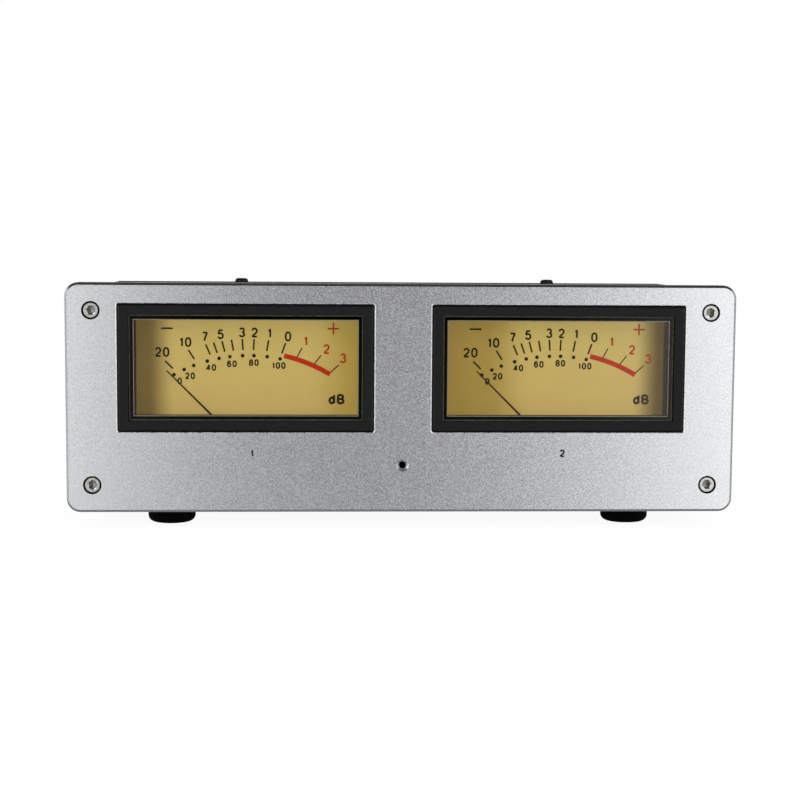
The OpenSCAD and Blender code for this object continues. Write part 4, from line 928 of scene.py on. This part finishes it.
# the world: white to the camera, the studio to metal and through the lenses, a soft fill to the rest
def makeWorld():
    world = bpy.data.worlds.new("studio")
    bpy.context.scene.world = world
    tree = emptyTree(world)
    axes = addNode(tree, "SeparateXYZ", links={0: addNode(tree, "TexCoord").outputs["Generated"]})
    path = addNode(tree, "LightPath")
    facing = addNode(tree, "Math", {"operation": "MULTIPLY", 1: -1.0}, {0: axes.outputs["Y"]}).outputs[0]
    away = addNode(tree, "Math", {"operation": "MAXIMUM", 1: studio["least"]}, {0: facing}).outputs[0]
    u = addNode(tree, "Math", {"operation": "DIVIDE"}, {0: axes.outputs["X"], 1: away}).outputs[0]
    v = addNode(tree, "Math", {"operation": "DIVIDE"}, {0: axes.outputs["Z"], 1: away}).outputs[0]
    start, stop = studio["lowSlope"]
    level = addNode(tree, "MapRange", {"From Min": start, "From Max": stop, "To Min": studio["dim"],
                                       "To Max": studio["low"]}, {"Value": v}).outputs[0]
    lower = addNode(tree, "MapRange", {"From Min": start, "From Max": stop, "To Min": 1.0,
                                       "To Max": studio["lowSides"]}, {"Value": v}).outputs[0]
    for start, stop, bright in (studio["left"], studio["right"]):
        span = {"interpolation_type": "SMOOTHSTEP", "From Min": start, "From Max": stop, "To Max": bright}
        rise = addNode(tree, "MapRange", span, {"Value": u}).outputs[0]
        rise = addNode(tree, "Math", {"operation": "MULTIPLY"}, {0: rise, 1: lower}).outputs[0]
        level = addNode(tree, "Math", {"operation": "ADD"}, {0: level, 1: rise}).outputs[0]
    start, stop, plain = studio["aside"]
    slope = addNode(tree, "Math", {"operation": "ABSOLUTE"}, {0: u}).outputs[0]
    span = {"interpolation_type": "SMOOTHSTEP", "From Min": start, "From Max": stop}
    past = addNode(tree, "MapRange", span, {"Value": slope}).outputs[0]
    level = addNode(tree, "Mix", {3: plain}, {0: past, 2: level}).outputs[0]
    start, stop = studio["front"]
    inFront = addNode(tree, "MapRange", {"From Min": start, "From Max": stop},
                      {"Value": axes.outputs["Y"]}).outputs[0]
    level = addNode(tree, "Mix", {2: studio["behind"]}, {0: inFront, 3: level}).outputs[0]
    for axis, start, stop, wall in studio["walls"]:
        span = {"interpolation_type": "SMOOTHSTEP", "From Min": start, "From Max": stop}
        reach = addNode(tree, "MapRange", span, {"Value": axes.outputs[axis]}).outputs[0]
        level = addNode(tree, "Mix", {3: wall}, {0: reach, 2: level}).outputs[0]
    # a bright strip square to each side, caught by the chamfers of the openings and of the microphone's hole
    across = addNode(tree, "Math", {"operation": "ABSOLUTE"}, {0: axes.outputs["X"]}).outputs[0]
    start, stop = studio["stripAcross"]
    beside = addNode(tree, "MapRange", {"From Min": start, "From Max": stop}, {"Value": across}).outputs[0]
    start, stop = studio["stripDepth"]
    square = addNode(tree, "MapRange", {"From Min": start, "From Max": stop},
                     {"Value": axes.outputs["Y"]}).outputs[0]
    strip = addNode(tree, "Math", {"operation": "MULTIPLY"}, {0: beside, 1: square}).outputs[0]
    level = addNode(tree, "Mix", {3: studio["strip"]}, {0: strip, 2: level}).outputs[0]
    mirrored = {0: path.outputs["Is Glossy Ray"], 1: path.outputs["Is Transmission Ray"]}
    shine = addNode(tree, "Math", {"operation": "MAXIMUM"}, mirrored).outputs[0]
    level = addNode(tree, "Mix", {2: studio["fill"]}, {0: shine, 3: level}).outputs[0]
    level = addNode(tree, "Mix", {3: 1.0}, {0: path.outputs["Is Camera Ray"], 2: level}).outputs[0]
    light = addNode(tree, "Background", {"Color": (1, 1, 1, 1)}, {"Strength": level})
    addNode(tree, "OutputWorld", links={"Surface": light.outputs[0]})


makeWorld()

# two soft lamps beside the camera and a weak one high behind the object, all turned to one place
lamps = {
    "lampLeft": {"place": (-0.95, -1.0, 0.75), "size": 0.7, "power": 5.0},
    "lampRight": {"place": (1.05, -0.95, 0.7), "size": 0.7, "power": 5.0},
    "lampBack": {"place": (0.1, 1.2, 1.0), "size": 0.8, "power": 4.0},
}
lampAim = Vector((0, 0, 0.04))
for name, lamp in lamps.items():
    data = bpy.data.lights.new(name, "AREA")
    data.size, data.energy = lamp["size"], lamp["power"]
    holder = addObject(name, data)
    holder.location = lamp["place"]
    holder.rotation_euler = (lampAim - holder.location).to_track_quat("-Z", "Y").to_euler()

# the camera, fitted to the photograph: place in metres, angles in radians, lens and sensor in millimetres
eye = {"place": (-0.03032, -0.64388, 0.10151), "yaw": 0.0502424, "pitch": 0.0952693, "roll": -0.00659199,
       "lens": 75.42, "sensor": 36}
camera = bpy.data.cameras.new("camera")
camera.lens, camera.sensor_width = eye["lens"], eye["sensor"]
cosYaw, sinYaw = math.cos(eye["yaw"]), math.sin(eye["yaw"])
cosPitch, sinPitch = math.cos(eye["pitch"]), math.sin(eye["pitch"])
cosRoll, sinRoll = math.cos(eye["roll"]), math.sin(eye["roll"])
sight = Vector((sinYaw * cosPitch, cosYaw * cosPitch, -sinPitch))
right = Vector((cosYaw, -sinYaw, 0))
down = sight.cross(right)
turn = Matrix((cosRoll * right + sinRoll * down, sinRoll * right - cosRoll * down, -sight)).transposed()
holder = addObject("camera", camera)
holder.matrix_world = Matrix.Translation(eye["place"]) @ turn.to_4x4()
bpy.context.scene.camera = holder
bpy.context.scene.view_settings.view_transform = "Standard"
print("stage, lamps and camera made")
